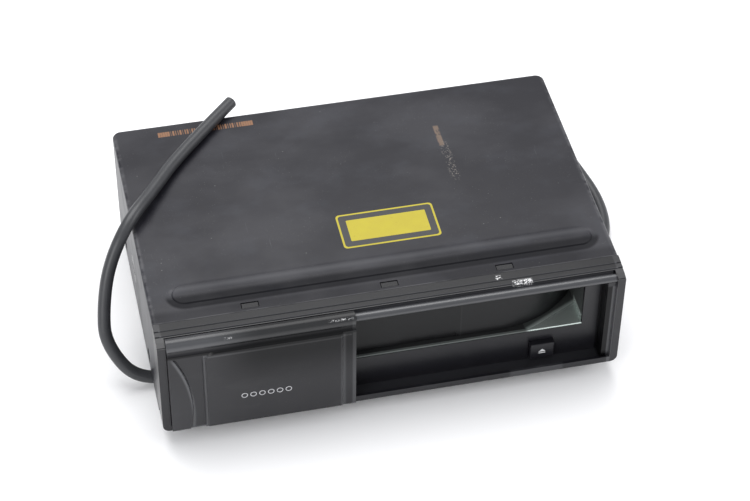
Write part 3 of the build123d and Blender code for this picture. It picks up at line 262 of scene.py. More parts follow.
# places on the cover, in millimetres: the bead, and the limits in x and y of what a tape left
BEAD_CENTRE = (1.8, SEAM_Y / MM + 18.5)
BEAD_HALF_LENGTH, BEAD_HALF_WIDTH = 109.0, 9.0
TAPE_FILM = (53.4, 56.4), (38, 55)
TAPE_CRUMBS = (53.8, 58.6), (10, 40)
# painted shade and painted highlight for the bead's front flank and rear half
BEAD_PAINTED_SHADE, BEAD_PAINTED_HIGHLIGHT = (0.0035, 0.0036, 0.0048), (0.075, 0.08, 0.095)


def cover_paint(settings):
    """Dark satin paint on sheet steel: orange peel, dust, wiped smudges, fine scratches, worn
    edges, the pressed bead and what is left of a tape."""
    f = Finish("cover_paint", IOR=1.45, Specular_IOR_Level=0.2, Coat_Roughness=0.36)
    base = tuple(settings.cover_colour)
    top = f.z.ramp(75 * MM, 75.8 * MM)
    cloud = f.noise(48 * MM, 4.0, stretch=(1.5, 1, 1)).ramp(0.36, 0.64)
    peel = f.noise(0.9 * MM, 2.0)
    dust = f.noise(0.55 * MM, 1.0).ramp(0.73, 0.78) * f.noise(25 * MM).ramp(0.4, 0.6)
    speck = f.cells(7 * MM).ramp(0.05, 0.03) * f.noise(40 * MM, 2.0).ramp(0.5, 0.6)
    wipe = f.noise(17 * MM, 4.0, stretch=(1.4, 1, 1)).ramp(0.46, 0.72)
    scratch = f.noise(1.2 * MM, 2.0, stretch=(1, 26, 1)).ramp(0.72, 0.76)
    scratch = scratch * f.noise(30 * MM).ramp(0.5, 0.62)
    # strip left by a tape: a tan film at its rear end, then crumbs of dry glue
    film = f.within(f.x, *TAPE_FILM[0], 0.4) * f.within(f.y, *TAPE_FILM[1], 0.8)
    film = film * f.noise(2.4 * MM, 4.0, stretch=(1, 2, 1)).ramp(0.3, 0.5) * top
    crumbs = f.within(f.x, *TAPE_CRUMBS[0], 1.2) * f.within(f.y, *TAPE_CRUMBS[1], 4)
    crumbs = crumbs * f.noise(0.9 * MM, 3.0).ramp(0.57, 0.62) * top
    # worn paint: the side and rear edges of the top, and its front edge at the seam
    outer = f.x.absolute().ramp(124.6 * MM, 126.9 * MM).highest(f.y.ramp(85.4 * MM, 87.4 * MM))
    edge = f.z.ramp(TOP_Z - 1.2 * MM, TOP_Z - 0.1 * MM) * outer
    front = top * f.y.ramp(SEAM_Y + 0.9 * MM, SEAM_Y + 0.2 * MM)
    worn = edge.highest(front) * f.noise(5 * MM, 4.0, stretch=(3, 1, 1)).ramp(0.35, 0.6)
    tone = f.mix(cloud, base, tuple(1.25 * c for c in base))
    tone = f.mix(wipe * 0.13, tone, (0.07, 0.074, 0.09))
    tone = f.mix((dust + speck).clamped() * 0.5, tone, (0.26, 0.255, 0.24))
    tone = f.mix(scratch * 0.3, tone, (0.14, 0.14, 0.15))
    tone = f.mix(worn * 0.34, tone, (0.2, 0.2, 0.21))
    tone = f.mix(film * 0.6, tone, (0.20, 0.14, 0.10))
    tone = f.mix(crumbs * 0.7, tone, (0.22, 0.20, 0.18))
    # the pressed bead swells with the distance from its middle line, which has round ends; painted
    # shade darkens its front flank and a painted highlight lightens its rear half
    along = ((f.x - BEAD_CENTRE[0] * MM).absolute() - BEAD_HALF_LENGTH * MM).highest(0.0)
    across = f.y - BEAD_CENTRE[1] * MM
    reach = (along * along + across * across).root()
    rise = reach.ramp(BEAD_HALF_WIDTH * MM, 0.0) * top
    flank = f.within(across, -12.0, -1.0, 2.5) * reach.ramp(11.5 * MM, 9.5 * MM) * top
    ridge = f.within(across, 2.5, 5.5, 2.0) * reach.ramp(9.5 * MM, 8.0 * MM) * top
    tone = f.mix(flank * 0.7, tone, BEAD_PAINTED_SHADE)
    tone = f.mix(ridge * 0.12, tone, BEAD_PAINTED_HIGHLIGHT)
    # painted shade: the strip of the top in front of the bead is darkened and given less coat
    strip = f.y.ramp(SEAM_Y + 10 * MM, SEAM_Y + 5 * MM) * top
    tone = f.mix(strip * 0.4, tone, (0.004, 0.004, 0.0055))
    f.colour(tone)
    coat = 0.18 + cloud * 0.24 + ridge * 0.3 - strip * 0.25 - flank * 0.3
    f.feed("Coat Weight", coat.clamped())
    gloss = 0.36 + cloud * 0.08 + wipe * 0.10 + (film + crumbs) * 0.25 - worn * 0.1 + dust * 0.2
    f.feed("Roughness", (gloss + flank * 0.22).clamped())
    bead = rise * 1.3 * MM
    f.relief(bead + (peel + scratch * 0.5) * 0.012 * MM + (film + crumbs) * 0.05 * MM)
    f.onto("top_cover")


# boxes (x, y, z), in millimetres, in which bare pale plastic shows through small chips
CHIPPED = {
    "bezel_plastic": (((66, 77), (-80, -75.0), (73, 77)), ((58, 61), (-73, -70), (74, 77))),
    "door_plastic": (((-36, -23), (-88, -84.5), (75.5, 78)), ((-92, -88), (-88, -85), (75, 78))),
}

# circle of the finger scoop's rim, in millimetres, in x and z
SCOOP_CENTRE, SCOOP_RADIUS = (-212.8, 21.8), 102.3

# boxes with a painted highlight or painted shade: x, y, z and softness in millimetres, colour and
# share
PAINTED_HIGHLIGHT = (0.055, 0.057, 0.063)
SHADE = (0.0025, 0.0026, 0.003)
PAINTED_GLINT = (0.18, 0.185, 0.2)
TOP, FRONT, ANY = TOP_Z / MM, FACE_Y / MM, (-200.0, 200.0)
PAINTED_LIGHT_BOXES = {
    "bezel_plastic": (
        ((-21, 122), (FRONT - 1, FRONT + 3.4), (TOP - 3.4, TOP - 0.4), 0.5, PAINTED_HIGHLIGHT, 0.75),
        ((-21, 122), (FRONT + 4, FRONT + 7), (69, 74.2), 0.3, PAINTED_GLINT, 0.3),
        ((-125, 125), (FRONT + 10.5, FRONT + 11.0), (74.5, 77), 0.2, PAINTED_GLINT, 0.35),
        ((-125, 125), (FRONT + 7.1, FRONT + 7.7), (74.0, 77), 0.2, PAINTED_GLINT, 0.35),
        ((-124, 124), (FRONT + 7, FRONT + 30), (73.0, 78), 0.3, SHADE, 0.5),
        ((117.0, 121.0), (FRONT + 1, FRONT + 40), (3, 67), 0.3, SHADE, 1.0),
        ((121.3, 123.2), (FRONT - 1, FRONT + 3), (6, 67), 0.3, PAINTED_HIGHLIGHT, 0.6),
        ((66, 96), (FRONT - 1, FRONT + 2), (8, 16), 1.0, PAINTED_HIGHLIGHT, 0.35),
        ((-21, 118), (FRONT + 2, FRONT + 9.8), (9, 12), 0.5, PAINTED_HIGHLIGHT, 0.25),
    ),
    "door_plastic": (
        (ANY, ANY, (TOP - 4.2, TOP + 0.6), 1.0, PAINTED_HIGHLIGHT, 0.9),
        (ANY, ANY, (TOP - 9.0, TOP - 7.4), 0.5, SHADE, 0.8),
        ((-118, -24), ANY, (TOP - 10.8, TOP - 9.8), 0.4, PAINTED_HIGHLIGHT, 0.5),
        ((-104.2, -103.2), ANY, (8, 66), 0.4, PAINTED_HIGHLIGHT, 0.6),
        ((-30, -27.5), ANY, (8, 67), 0.7, PAINTED_HIGHLIGHT, 0.5),
        ((-23.6, -21.5), ANY, (8, 76), 0.4, PAINTED_HIGHLIGHT, 0.5),
        (ANY, ANY, (DOOR_LOW.z / MM - 1, DOOR_LOW.z / MM + 0.9), 0.3, PAINTED_GLINT, 0.4),
        ((-160, -96), ANY, (-20, 30), 24.0, PAINTED_HIGHLIGHT, 0.22),
        ((-88, 10), ANY, (48, 90), 17.0, SHADE, 0.8),
    ),
}


def moulded_black(settings):
    """Black moulded plastic with a fine grain and smears, chipped at its edges, with painted
    highlights and painted shade.
    """
    base = tuple(settings.plastic_colour)
    for name, nodes in (
        ("bezel_plastic", ("front_bezel",)),
        ("door_plastic", ("sliding_door",)),
        ("button_plastic", ("eject_button",)),
        ("dial_plastic", ("left_dial", "right_dial", "turntable", "clamp_puck")),
    ):
        f = Finish(name, IOR=1.5, Specular_IOR_Level=0.2, Coat_Roughness=0.32)
        grain = f.noise(0.28 * MM, 1.5)
        cloud = f.noise(28 * MM, 3.0)
        smear = f.noise(9 * MM, 3.0, stretch=(3, 1, 1)).ramp(0.55, 0.8)
        dust = f.noise(0.5 * MM, 1.0).ramp(0.74, 0.79) * f.noise(14 * MM).ramp(0.45, 0.6)
        tone = f.mix(cloud, base, tuple(1.3 * c for c in base))
        tone = f.mix(smear * 0.10, tone, (0.10, 0.10, 0.105))
        tone = f.mix(dust * 0.4, tone, (0.22, 0.215, 0.2))
        sheen = 0.4 + cloud * 0.1
        # painted highlights and painted shade; a painted highlight also adds coat, the others take
        # it away
        for *limits, soft, colour, share in PAINTED_LIGHT_BOXES.get(name, ()):
            place = f.patch(*limits, soft)
            tone = f.mix(place * share, tone, colour)
            sheen = sheen + place * (share * (0.7 if colour is PAINTED_HIGHLIGHT else -0.6))
        if name == "door_plastic":
            # painted highlight on the rim of the finger scoop: an arc of a circle about its centre
            aside, above = f.x - SCOOP_CENTRE[0] * MM, f.z - SCOOP_CENTRE[1] * MM
            rim = (aside * aside + above * above).root()
            rim = f.within(rim, SCOOP_RADIUS - 0.7, SCOOP_RADIUS + 0.9, 0.7)
            rim = rim * f.x.ramp(-104 * MM, -107 * MM) * f.z.ramp(68 * MM, 62 * MM)
            tone = f.mix(rim * 0.9, tone, PAINTED_HIGHLIGHT)
            sheen = sheen + rim * 0.7
        for limits in CHIPPED.get(name, ()):
            chips = f.patch(*limits, 0.5) * f.noise(0.62 * MM, 2.0).ramp(0.53, 0.56)
            tone = f.mix(chips, tone, (0.8, 0.8, 0.81))
        f.colour(tone)
        f.feed("Coat Weight", sheen.clamped())
        gloss = 0.30 + cloud * 0.08 + smear * 0.16 + dust * 0.3
        f.feed("Roughness", gloss.clamped())
        f.relief(grain * 0.008 * MM)
        f.onto(*nodes)


def magazine_finishes():
    """Satin magazine shell, thin trays and mirror-bright discs with a clear hub and rim."""
    f = Finish("magazine_plastic", IOR=1.5, Specular_IOR_Level=0.25)
    grain = f.noise(0.35 * MM, 1.5)
    cloud = f.noise(20 * MM, 3.0)
    tone = f.mix(cloud, (0.007, 0.007, 0.008), (0.012, 0.0125, 0.013))
    # its front has a faint step, with the part left of it a little darker
    face = f.y.ramp(-69.6 * MM, -70.4 * MM)
    tone = f.mix(f.x.ramp(40.6 * MM, 39.8 * MM) * face * 0.35, tone, (0.003, 0.003, 0.0035))
    step = f.within(f.x, 39.9, 40.5, 0.25) * face
    f.colour(f.mix(step * 0.2, tone, (0.06, 0.06, 0.06)))
    f.feed("Roughness", 0.3 + cloud * 0.12)
    f.relief(grain * 0.006 * MM)
    f.onto("magazine_shell")
    trays = Finish("tray_plastic", IOR=1.5)
    rub = trays.noise(4 * MM, 3.0, stretch=(6, 1, 1))
    trays.colour(trays.mix(rub.ramp(0.5, 0.8), (0.018, 0.018, 0.02), (0.04, 0.04, 0.042)))
    trays.feed("Roughness", 0.35 + rub * 0.2)
    trays.onto(*(f"disc_tray_{i}" for i in range(1, 7)))
    for index in range(1, 7):
        low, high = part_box(f"disc_{index}")
        centre = (low + high) / 2
        d = Finish(f"disc_{index}_mirror", Coat_Weight=0.6, Coat_Roughness=0.04)
        radius = d.node(
            "ShaderNodeVectorMath",
            {"operation": "DISTANCE"},
            d.node("ShaderNodeCombineXYZ", {}, d.x, d.y, 0.0),
            (centre.x, centre.y, 0.0),
            result="Value",
        )
        hub = radius.ramp(19.5 * MM, 18.5 * MM)
        stacking_ring = d.within(radius, 16.5, 17.3, 0.1)
        rim = radius.ramp(58 * MM, 58.6 * MM)
        tracks = (radius * (2 * math.pi / (1.2 * MM))).sine() * 0.5 + 0.5
        silver = d.mix(tracks * 0.5, (0.72, 0.73, 0.76), (0.62, 0.66, 0.72))
        d.colour(d.mix(hub.highest(rim) * 0.75, silver, (0.55, 0.58, 0.6)))
        d.feed("Metallic", (1 - hub.highest(rim)) * 0.95)
        d.feed("Roughness", 0.08 + hub * 0.1 + tracks * 0.03)
        d.relief(stacking_ring * 0.12 * MM)
        d.onto(f"disc_{index}")


# the shadow line on the bay floor: y = slope x - offset, in millimetres
SHADOW_SLOPE, SHADOW_OFFSET = 0.503, 111.7


def plated_sheet():
    """Bright plated bay, zinc-plated structure, ground steel, motor cans, the cast sled, brass and
    blackened screws."""
    bright = Finish("bright_plating", Specular_IOR_Level=0.25)
    wave = bright.noise(14 * MM, 3.0, stretch=(1, 3, 1))
    tone = bright.mix(wave, (0.62, 0.72, 0.68), (0.76, 0.82, 0.79))
    # painted shade on the lip under the slot, all but its right end
    painted_shade = bright.x.ramp(80 * MM, 76 * MM)
    # painted shadow: beyond the magazine's corner the floor stays bright only below a slanting line
    slant = bright.y - bright.x * SHADOW_SLOPE + SHADOW_OFFSET * MM
    shadow = slant.ramp(-2.5 * MM, 2.0 * MM).highest(bright.z.ramp(34.5 * MM, 38 * MM))
    painted_shade = painted_shade.highest(shadow * 0.96) * bright.y.ramp(-44 * MM, -50 * MM)
    # painted highlight: its very front edge keeps a little less of the painted shade
    painted_shade = painted_shade * (1 - bright.y.ramp(-72.6 * MM, -72.9 * MM) * 0.14)
    bright.colour(bright.mix(painted_shade * 0.99, tone, (0.012, 0.012, 0.013)))
    bright.feed("Metallic", 0.72 - painted_shade * 0.7)
    bright.feed("Roughness", 0.16 + wave * 0.12 + painted_shade * 0.35)
    bright.relief(wave * 0.02 * MM)
    bright.onto("magazine_bay", "bay_roof")
    zinc = Finish("zinc_plating", Metallic=1.0)
    roll = zinc.noise(0.5 * MM, 2.0, stretch=(30, 1, 1))
    bloom = zinc.noise(12 * MM, 4.0)
    zinc.colour(zinc.mix(bloom, (0.42, 0.43, 0.43), (0.6, 0.6, 0.58)))
    zinc.feed("Roughness", 0.28 + bloom * 0.2)
    zinc.relief(roll * 0.004 * MM)
    zinc.onto(
        "bottom_chassis", "deck_plate", "clamp_arm", "gear_plate", "cam_slide", "lift_plate",
        "floating_base", "board_standoffs",
    )
    steel = Finish("ground_steel", Metallic=1.0)
    lines = steel.noise(0.4 * MM, 2.0, stretch=(1, 1, 20))
    steel.colour(steel.mix(lines, (0.5, 0.5, 0.5), (0.62, 0.62, 0.61)))
    steel.feed("Roughness", 0.16 + lines * 0.14)
    steel.onto(
        "button_spring", "sled_rods", "lead_screw", "clamp_pin", "puller_rod", "gear_axle",
        "guide_posts",
    )
    can = Finish("motor_can", Metallic=1.0)
    cloud = can.noise(5 * MM, 3.0)
    can.colour(can.mix(cloud, (0.55, 0.55, 0.52), (0.68, 0.67, 0.63)))
    can.feed("Roughness", 0.22 + cloud * 0.16)
    can.onto("sled_motor", "spindle_motor", "lift_motor")
    cast = Finish("die_casting", Metallic=1.0)
    grit = cast.noise(0.5 * MM, 3.0)
    cast.colour(cast.mix(grit, (0.3, 0.31, 0.32), (0.42, 0.43, 0.44)))
    cast.feed("Roughness", 0.5 + grit * 0.15)
    cast.relief(grit * 0.02 * MM)
    cast.onto("pickup_sled")
    brass = Finish("turned_brass", Metallic=1.0)
    rings = brass.noise(0.6 * MM, 2.0, stretch=(1, 1, 0.3))
    brass.colour(brass.mix(rings, (0.6, 0.42, 0.17), (0.74, 0.55, 0.25)))
    brass.feed("Roughness", 0.2 + rings * 0.14)
    brass.onto("motor_pinion", "foot_inserts")
    black = Finish("blackened_steel", Metallic=0.7)
    wear = black.noise(0.8 * MM, 3.0)
    black.colour(black.mix(wear.ramp(0.55, 0.75), (0.02, 0.02, 0.02), (0.1, 0.1, 0.1)))
    black.feed("Roughness", 0.35 + wear * 0.15)
    black.onto("cover_screws")


def small_part_finishes():
    """Milky gears, green board, dark packages, rubber and the pickup's lens."""
    milk = Finish("milky_plastic", IOR=1.48, Subsurface_Weight=0.1, Subsurface_Radius=(0.002,) * 3)
    cloud = milk.noise(6 * MM, 3.0)
    milk.colour(milk.mix(cloud, (0.68, 0.68, 0.64), (0.78, 0.78, 0.74)))
    milk.feed("Roughness", 0.38 + cloud * 0.1)
    milk.onto("tray_puller", "lift_gear")
    board = Finish("green_board", IOR=1.5, Coat_Weight=0.35, Coat_Roughness=0.15)
    weave = (board.x * 2600).sine() * (board.y * 2600).sine()
    lane = ((board.x * 900 + (board.y * 300).sine() * 2).sine()).ramp(0.7, 0.85)
    board.colour(board.mix(lane * 0.5, (0.01, 0.09, 0.035), (0.02, 0.17, 0.07)))
    board.feed("Roughness", 0.42 + weave * 0.04)
    board.relief(lane * 0.02 * MM)
    board.onto("main_board", "switch_board")
    dark = Finish("dark_package", IOR=1.5)
    grit = dark.noise(0.4 * MM, 2.0)
    dark.colour(dark.mix(grit, (0.014, 0.014, 0.015), (0.03, 0.03, 0.03)))
    dark.feed("Roughness", 0.5 + grit * 0.15)
    dark.onto("board_parts", "eject_switch")
    rubber = Finish("moulded_rubber", IOR=1.5)
    bloom = rubber.noise(5 * MM, 4.0)
    rubber.colour(rubber.mix(bloom, (0.012, 0.012, 0.012), (0.03, 0.03, 0.03)))
    rubber.feed("Roughness", 0.7 + bloom * 0.15)
    rubber.relief(rubber.noise(0.6 * MM, 2.0) * 0.015 * MM)
    rubber.onto("rubber_feet", "rubber_dampers", "cable_gland")
    lens = Finish("coated_lens", IOR=1.5, Coat_Weight=1.0, Coat_Roughness=0.02)
    tint = lens.noise(2 * MM, 1.0)
    lens.colour(lens.mix(tint, (0.05, 0.06, 0.16), (0.12, 0.08, 0.2)))
    lens.feed("Roughness", 0.05 + tint * 0.03)
    lens.onto("pickup_lens")


# ================================================================ surfaces
# A surface is three whole arrays: places (k, 3) in metres, quads (q, 4) and triangles (t, 3).


def ring_surface(points, wrap=True, closed=False):
    """Surface through an (m, n, 3) array of m rings of n places, in millimetres. A quad joins place
    (i, j) to (i, j+1), (i+1, j+1) and (i+1, j); j goes round where wrap is set, and i where closed
    is set. Otherwise each end is closed by a fan of triangles from the mean of its ring."""
    m, n = points.shape[:2]
    rows, columns = np.meshgrid(
        np.arange(m if closed else m - 1), np.arange(n if wrap else n - 1), indexing="ij"
    )
    below, after = (rows + 1) % m, (columns + 1) % n
    corners = (rows * n + columns, rows * n + after, below * n + after, below * n + columns)
    quads = np.stack(corners, -1).reshape(-1, 4)
    places = points.reshape(-1, 3) * MM
    if closed or not wrap:
        return places, quads, np.empty((0, 3), int)
    ring = np.arange(n)
    after, last = (ring + 1) % n, (m - 1) * n
    poles = points[[0, -1]].mean(axis=1) * MM
    fans = (
        np.stack([after, ring, np.full(n, m * n)], -1),
        np.stack([last + ring, last + after, np.full(n, m * n + 1)], -1),
    )
    return np.concatenate([places, poles]), quads, np.concatenate(fans)


def gathered(surfaces):
    """Several surfaces as one: each one's indices are raised by the number of places before it."""
    starts = np.cumsum([0] + [len(places) for places, _, _ in surfaces[:-1]])
    return (
        np.concatenate([places for places, _, _ in surfaces]),
        np.concatenate([quads + start for (_, quads, _), start in zip(surfaces, starts)]),
        np.concatenate([fans + start for (_, _, fans), start in zip(surfaces, starts)]),
    )


def mesh_object(name, surface, material, smooth=False):
    """Object whose mesh is filled from a surface's arrays: first its quads, then its triangles."""
    places, quads, triangles = surface
    sizes = np.repeat([4, 3], [len(quads), len(triangles)])
    corners = np.concatenate([quads.ravel(), triangles.ravel()])
    mesh = bpy.data.meshes.new(name)
    mesh.vertices.add(len(places))
    mesh.loops.add(len(corners))
    mesh.polygons.add(len(sizes))
    mesh.vertices.foreach_set("co", places.astype(np.float32).ravel())
    mesh.loops.foreach_set("vertex_index", corners.astype(np.int32))
    mesh.polygons.foreach_set("loop_start", (np.cumsum(sizes) - sizes).astype(np.int32))
    mesh.polygons.foreach_set("use_smooth", np.full(len(sizes), smooth))
    mesh.update(calc_edges=True)
    mesh.validate()
    mesh.materials.append(material)
    made = bpy.data.objects.new(name, mesh)
    bpy.context.scene.collection.objects.link(made)
    return made


def piece(name, surface, body, material, smooth=False):
    """A mesh object that rides one body of the frame and fills one material slot."""
    made = mesh_object(name, surface, material, smooth)
    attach(made, body)
    return made


def rounded_outline(half_width, half_height, radius, count=48):
    """Rounded rectangle: at each angle, the inner rectangle's corner on that side plus the radius
    times the direction of the angle."""
    angle = (np.arange(count) + 0.5) * 2 * np.pi / count
    direction = np.stack([np.cos(angle), np.sin(angle)], -1)
    corner = np.array([half_width - radius, half_height - radius])
    return np.sign(direction) * corner + radius * direction


def plate(outline, centre, across, up, thickness):
    """A thin plate: centre + u across + v up for each (u, v) of the outline, then the same places
    raised by the thickness along across x up."""
    across, up = np.array(across, float), np.array(up, float)
    flat = outline[:, :1] * across + outline[:, 1:] * up + np.array(centre, float)
    return ring_surface(np.stack([flat, flat + np.cross(across, up) * thickness]))


def hoop(centre, radius, section, across, up, count=40, around=10):
    """A torus: centre + (radius + section cos b) spoke - section sin b (across x up), where the
    spoke is cos a across + sin a up and a and b both go once round."""
    across, up = np.array(across, float), np.array(up, float)
    a = np.arange(count)[:, None, None] * 2 * np.pi / count
    b = np.arange(around)[None, :, None] * 2 * np.pi / around
    spoke = np.cos(a) * across + np.sin(a) * up
    points = (radius + section * np.cos(b)) * spoke - section * np.sin(b) * np.cross(across, up)
    return ring_surface(points + np.array(centre, float), closed=True)


def sides_of(along):
    """Two directions square to a line and to each other, the second pointing upwards."""
    side = np.cross(along, (0.0, 0.0, 1.0))
    side /= np.linalg.norm(side)
    return side, np.cross(side, along)


def turned(profile, centre, along, count=24):
    """A profile turned about a line: centre + s along + r (cos a side + sin a up) for each (s, r)
    of the profile, taken from its last step to its first, and a once round."""
    side, up = sides_of(along)
    angle = np.arange(count)[None, :, None] * 2 * np.pi / count
    steps = np.array(profile, float)[::-1, :, None]
    reach = np.maximum(steps[:, 1:], 1e-4)
    rings = steps[:, :1] * along + reach * (np.cos(angle) * side + np.sin(angle) * up)
    return ring_surface(rings + centre)


# ================================================================ marks


SIDEWAYS, BACKWARDS, UPWARDS = (1, 0, 0), (0, 1, 0), (0, 0, 1)
FILM_GAP, FILM_THICKNESS = 0.01, 0.03


def plain_paint(name, colour, roughness, wear_colour, **constants):
    """A printed or painted mark: one colour, broken by fine wear."""
    f = Finish(name, **constants)
    wear = f.noise(0.7 * MM, 3.0).ramp(0.62, 0.72)
    f.colour(f.mix(wear * 0.35, colour, wear_colour))
    f.feed("Roughness", roughness + wear * 0.2)
    return f.material


STICKER_CENTRE = (10.5, -20.0)
STICKER_BANDS = ((0.0, "sticker_yellow"), (1.1, "sticker_black"), (5.0, "sticker_yellow"))


def make_sticker(settings):
    """A blank sticker: a yellow edge, a black band and a yellow panel, each film of the stack the
    outline drawn in by its inset, 0.03 mm above the one before."""
    yellow = Finish("sticker_yellow", Specular_IOR_Level=0.3)
    fade = yellow.noise(9 * MM, 4.0)
    dirt = yellow.noise(1.4 * MM, 4.0).ramp(0.62, 0.74)
    tone = yellow.mix(fade, tuple(settings.colour), (0.38, 0.31, 0.03))
    yellow.colour(yellow.mix(dirt * 0.3, tone, (0.2, 0.15, 0.02)))
    yellow.feed("Roughness", 0.36 + fade * 0.15)
    black = plain_paint("sticker_black", (0.008, 0.008, 0.009), 0.34, (0.05, 0.05, 0.05))
    half_width, half_depth = settings.width / MM / 2, settings.depth / MM / 2
    for level, (inset, name) in enumerate(STICKER_BANDS):
        corner = max(2.2 - inset * 0.35, 0.6)
        outline = rounded_outline(half_width - inset, half_depth - inset, corner)
        centre = (*STICKER_CENTRE, TOP_Z / MM + FILM_GAP + FILM_THICKNESS * level)
        film = plate(outline, centre, SIDEWAYS, BACKWARDS, FILM_THICKNESS)
        material = yellow.material if "yellow" in name else black
        piece(f"sticker_film_{level}", film, "case", material)


PRINT_CENTRE = (-74.5, 79.3)
PRINT_TICKS, PRINT_BLOCK = 40, 5


def make_print(settings):
    """A row of plain upright ticks with a block at each end: the middle of tick i is at
    (i + 1/2) step, and its half width is 0.16 step (1.5 + sin 2.3 i)."""
    ink = plain_paint("orange_ink", tuple(settings.tick_colour), 0.6, (0.06, 0.04, 0.03))
    length, tall = settings.row_length / MM, settings.row_depth / MM / 2
    step = length / PRINT_TICKS
    index = np.arange(PRINT_TICKS)
    middle = PRINT_CENTRE[0] - length / 2 + (index + 0.5) * step
    half = 0.16 * step * (1.5 + np.sin(index * 2.3))
    half[:PRINT_BLOCK] = half[-PRINT_BLOCK:] = 0.46 * step
    ticks = []
    for x, half_width in zip(middle, half):
        centre = (x, PRINT_CENTRE[1], TOP_Z / MM + FILM_GAP)
        outline = rounded_outline(half_width, tall, 0.1, 12)
        ticks.append(plate(outline, centre, SIDEWAYS, BACKWARDS, 0.02))
    piece("print_ticks", gathered(ticks), "case", ink)


RINGS_CENTRE = (-70.9, 32.0)
RING_COUNT, RING_PITCH, RING_RADIUS, RING_SECTION = 6, 4.8, 1.55, 0.24


def make_door_rings(settings):
    """Six small plain rings in a row across the middle of the door, each a torus let into it."""
    ink = plain_paint("silver_ink", tuple(settings.ring_colour), 0.4, (0.2, 0.2, 0.2))
    rings = []
    for i in range(RING_COUNT):
        x = RINGS_CENTRE[0] + (i - (RING_COUNT - 1) / 2) * RING_PITCH
        centre = (x, DOOR_LOW.y / MM, RINGS_CENTRE[1])
        rings.append(hoop(centre, RING_RADIUS, RING_SECTION, SIDEWAYS, UPWARDS))
    piece("door_rings", gathered(rings), "door", ink, smooth=True)


TRIANGLE = np.array([(-2.0, -0.3), (2.0, -0.3), (0.0, 1.7)])
BAR_DROP, BAR_HALF = 1.25, (2.0, 0.28)


def make_eject_mark():
    """Triangle over a bar on the button: each side of the triangle is five even steps between its
    corners, and both plates stand 0.06 mm proud."""
    ink = plain_paint("white_ink", (0.62, 0.63, 0.64), 0.45, (0.3, 0.3, 0.3))
    middle = (BUTTON_LOW + BUTTON_HIGH) / 2 / MM
    share = np.arange(5)[None, :, None] / 5
    start, end = TRIANGLE[:, None, :], np.roll(TRIANGLE, -1, axis=0)[:, None, :]
    outline = (start + (end - start) * share).reshape(-1, 2)
    centre = (middle.x, BUTTON_LOW.y / MM, middle.z)
    triangle = plate(outline, centre, SIDEWAYS, UPWARDS, 0.06)
    below = (middle.x, BUTTON_LOW.y / MM, middle.z - BAR_DROP)
    bar = plate(rounded_outline(*BAR_HALF, 0.1, 12), below, SIDEWAYS, UPWARDS, 0.06)
    piece("eject_mark", gathered([triangle, bar]), "button", ink)


DIAL_LINE_RISE, DIAL_LINE_HALF = 5.4, (0.35, 1.5)


def make_dial_marks():
    """A short index line on each side dial, from its slot to its rim."""
    ink = bpy.data.materials["white_ink"]
    for name, side in (("left", -1), ("right", 1)):
        low, high = (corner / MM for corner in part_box(f"{name}_dial"))
        face = low.x if side < 0 else high.x
        place = (face, (low.y + high.y) / 2, (low.z + high.z) / 2 + DIAL_LINE_RISE)
        outline = rounded_outline(*DIAL_LINE_HALF, 0.15, 16)
        line = plate(outline, place, (0, side, 0), UPWARDS, 0.03)
        piece(f"{name}_dial_mark", line, f"dial_{name}", ink)


SCREW_HEIGHT = 15.0
SIDE_SCREWS_Y, REAR_SCREWS_X = (-55, 70), (-70, 30)
CROSS_BARS = ((1.5, 0.3), (0.3, 1.5))


def make_screw_recesses():
    """Cross recesses in the countersunk cover screws, as crosses of painted shadow, two bars on
    each head.
    """
    dark = plain_paint("recess_shadow", (0.006, 0.006, 0.006), 0.6, (0.02, 0.02, 0.02))
    high = COVER_HIGH / MM
    heads = [
        ((side * high.x, y, SCREW_HEIGHT), (0, side, 0)) for side in (-1, 1) for y in SIDE_SCREWS_Y
    ]
    heads += [((x, high.y, SCREW_HEIGHT), (-1, 0, 0)) for x in REAR_SCREWS_X]
    bars = [
        plate(rounded_outline(*half, 0.1, 12), place, across, UPWARDS, 0.02)
        for place, across in heads
        for half in CROSS_BARS
    ]
    piece("screw_recesses", gathered(bars), "case", dark)


# ================================================================ cable


def make_cable(settings):
    """The control cable: a round jacket swept along one smooth line, capped at both ends."""
    curve = bpy.data.curves.new("control_cable", "CURVE")
    curve.dimensions = "3D"
    curve.bevel_depth = settings.diameter / 2
    curve.bevel_resolution = 8
    curve.resolution_u = 14
    curve.use_fill_caps = True
    spline = curve.splines.new("NURBS")
    route = np.array(CABLE_ROUTE) * MM
    spline.points.add(len(route) - 1)
    spline.points.foreach_set("co", np.pad(route, ((0, 0), (0, 1)), constant_values=1.0).ravel())
    spline.order_u = 3
    spline.use_endpoint_u = True
    cable = bpy.data.objects.new("control_cable", curve)
    bpy.context.scene.collection.objects.link(cable)
    f = Finish("cable_jacket", IOR=1.5)
    bloom = f.noise(7 * MM, 4.0)
    scuff = f.noise(1.2 * MM, 3.0).ramp(0.6, 0.75)
    base = tuple(settings.colour)
    tone = f.mix(bloom, base, tuple(1.65 * c for c in base))
    f.colour(f.mix(scuff * 0.2, tone, (0.09, 0.09, 0.09)))
    f.feed("Roughness", 0.34 + bloom * 0.12)
    f.relief(f.noise(0.7 * MM, 2.0) * 0.015 * MM)
    curve.materials.append(f.material)
    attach(cable, "case")
    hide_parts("cable")
    return cable


SCREEN_PROFILE = [(0, 2.7), (0.25, 2.7), (0.25, 2.4), (0.1, 2.3), (0.1, 0)]
CORE_PROFILE = [(-0.1, 0.62), (0.45, 0.62), (0.5, 0.5), (0.5, 0.34), (0.75, 0.3), (0.75, 0)]
CORE_RING, OUTER_CORES = 1.5, 6


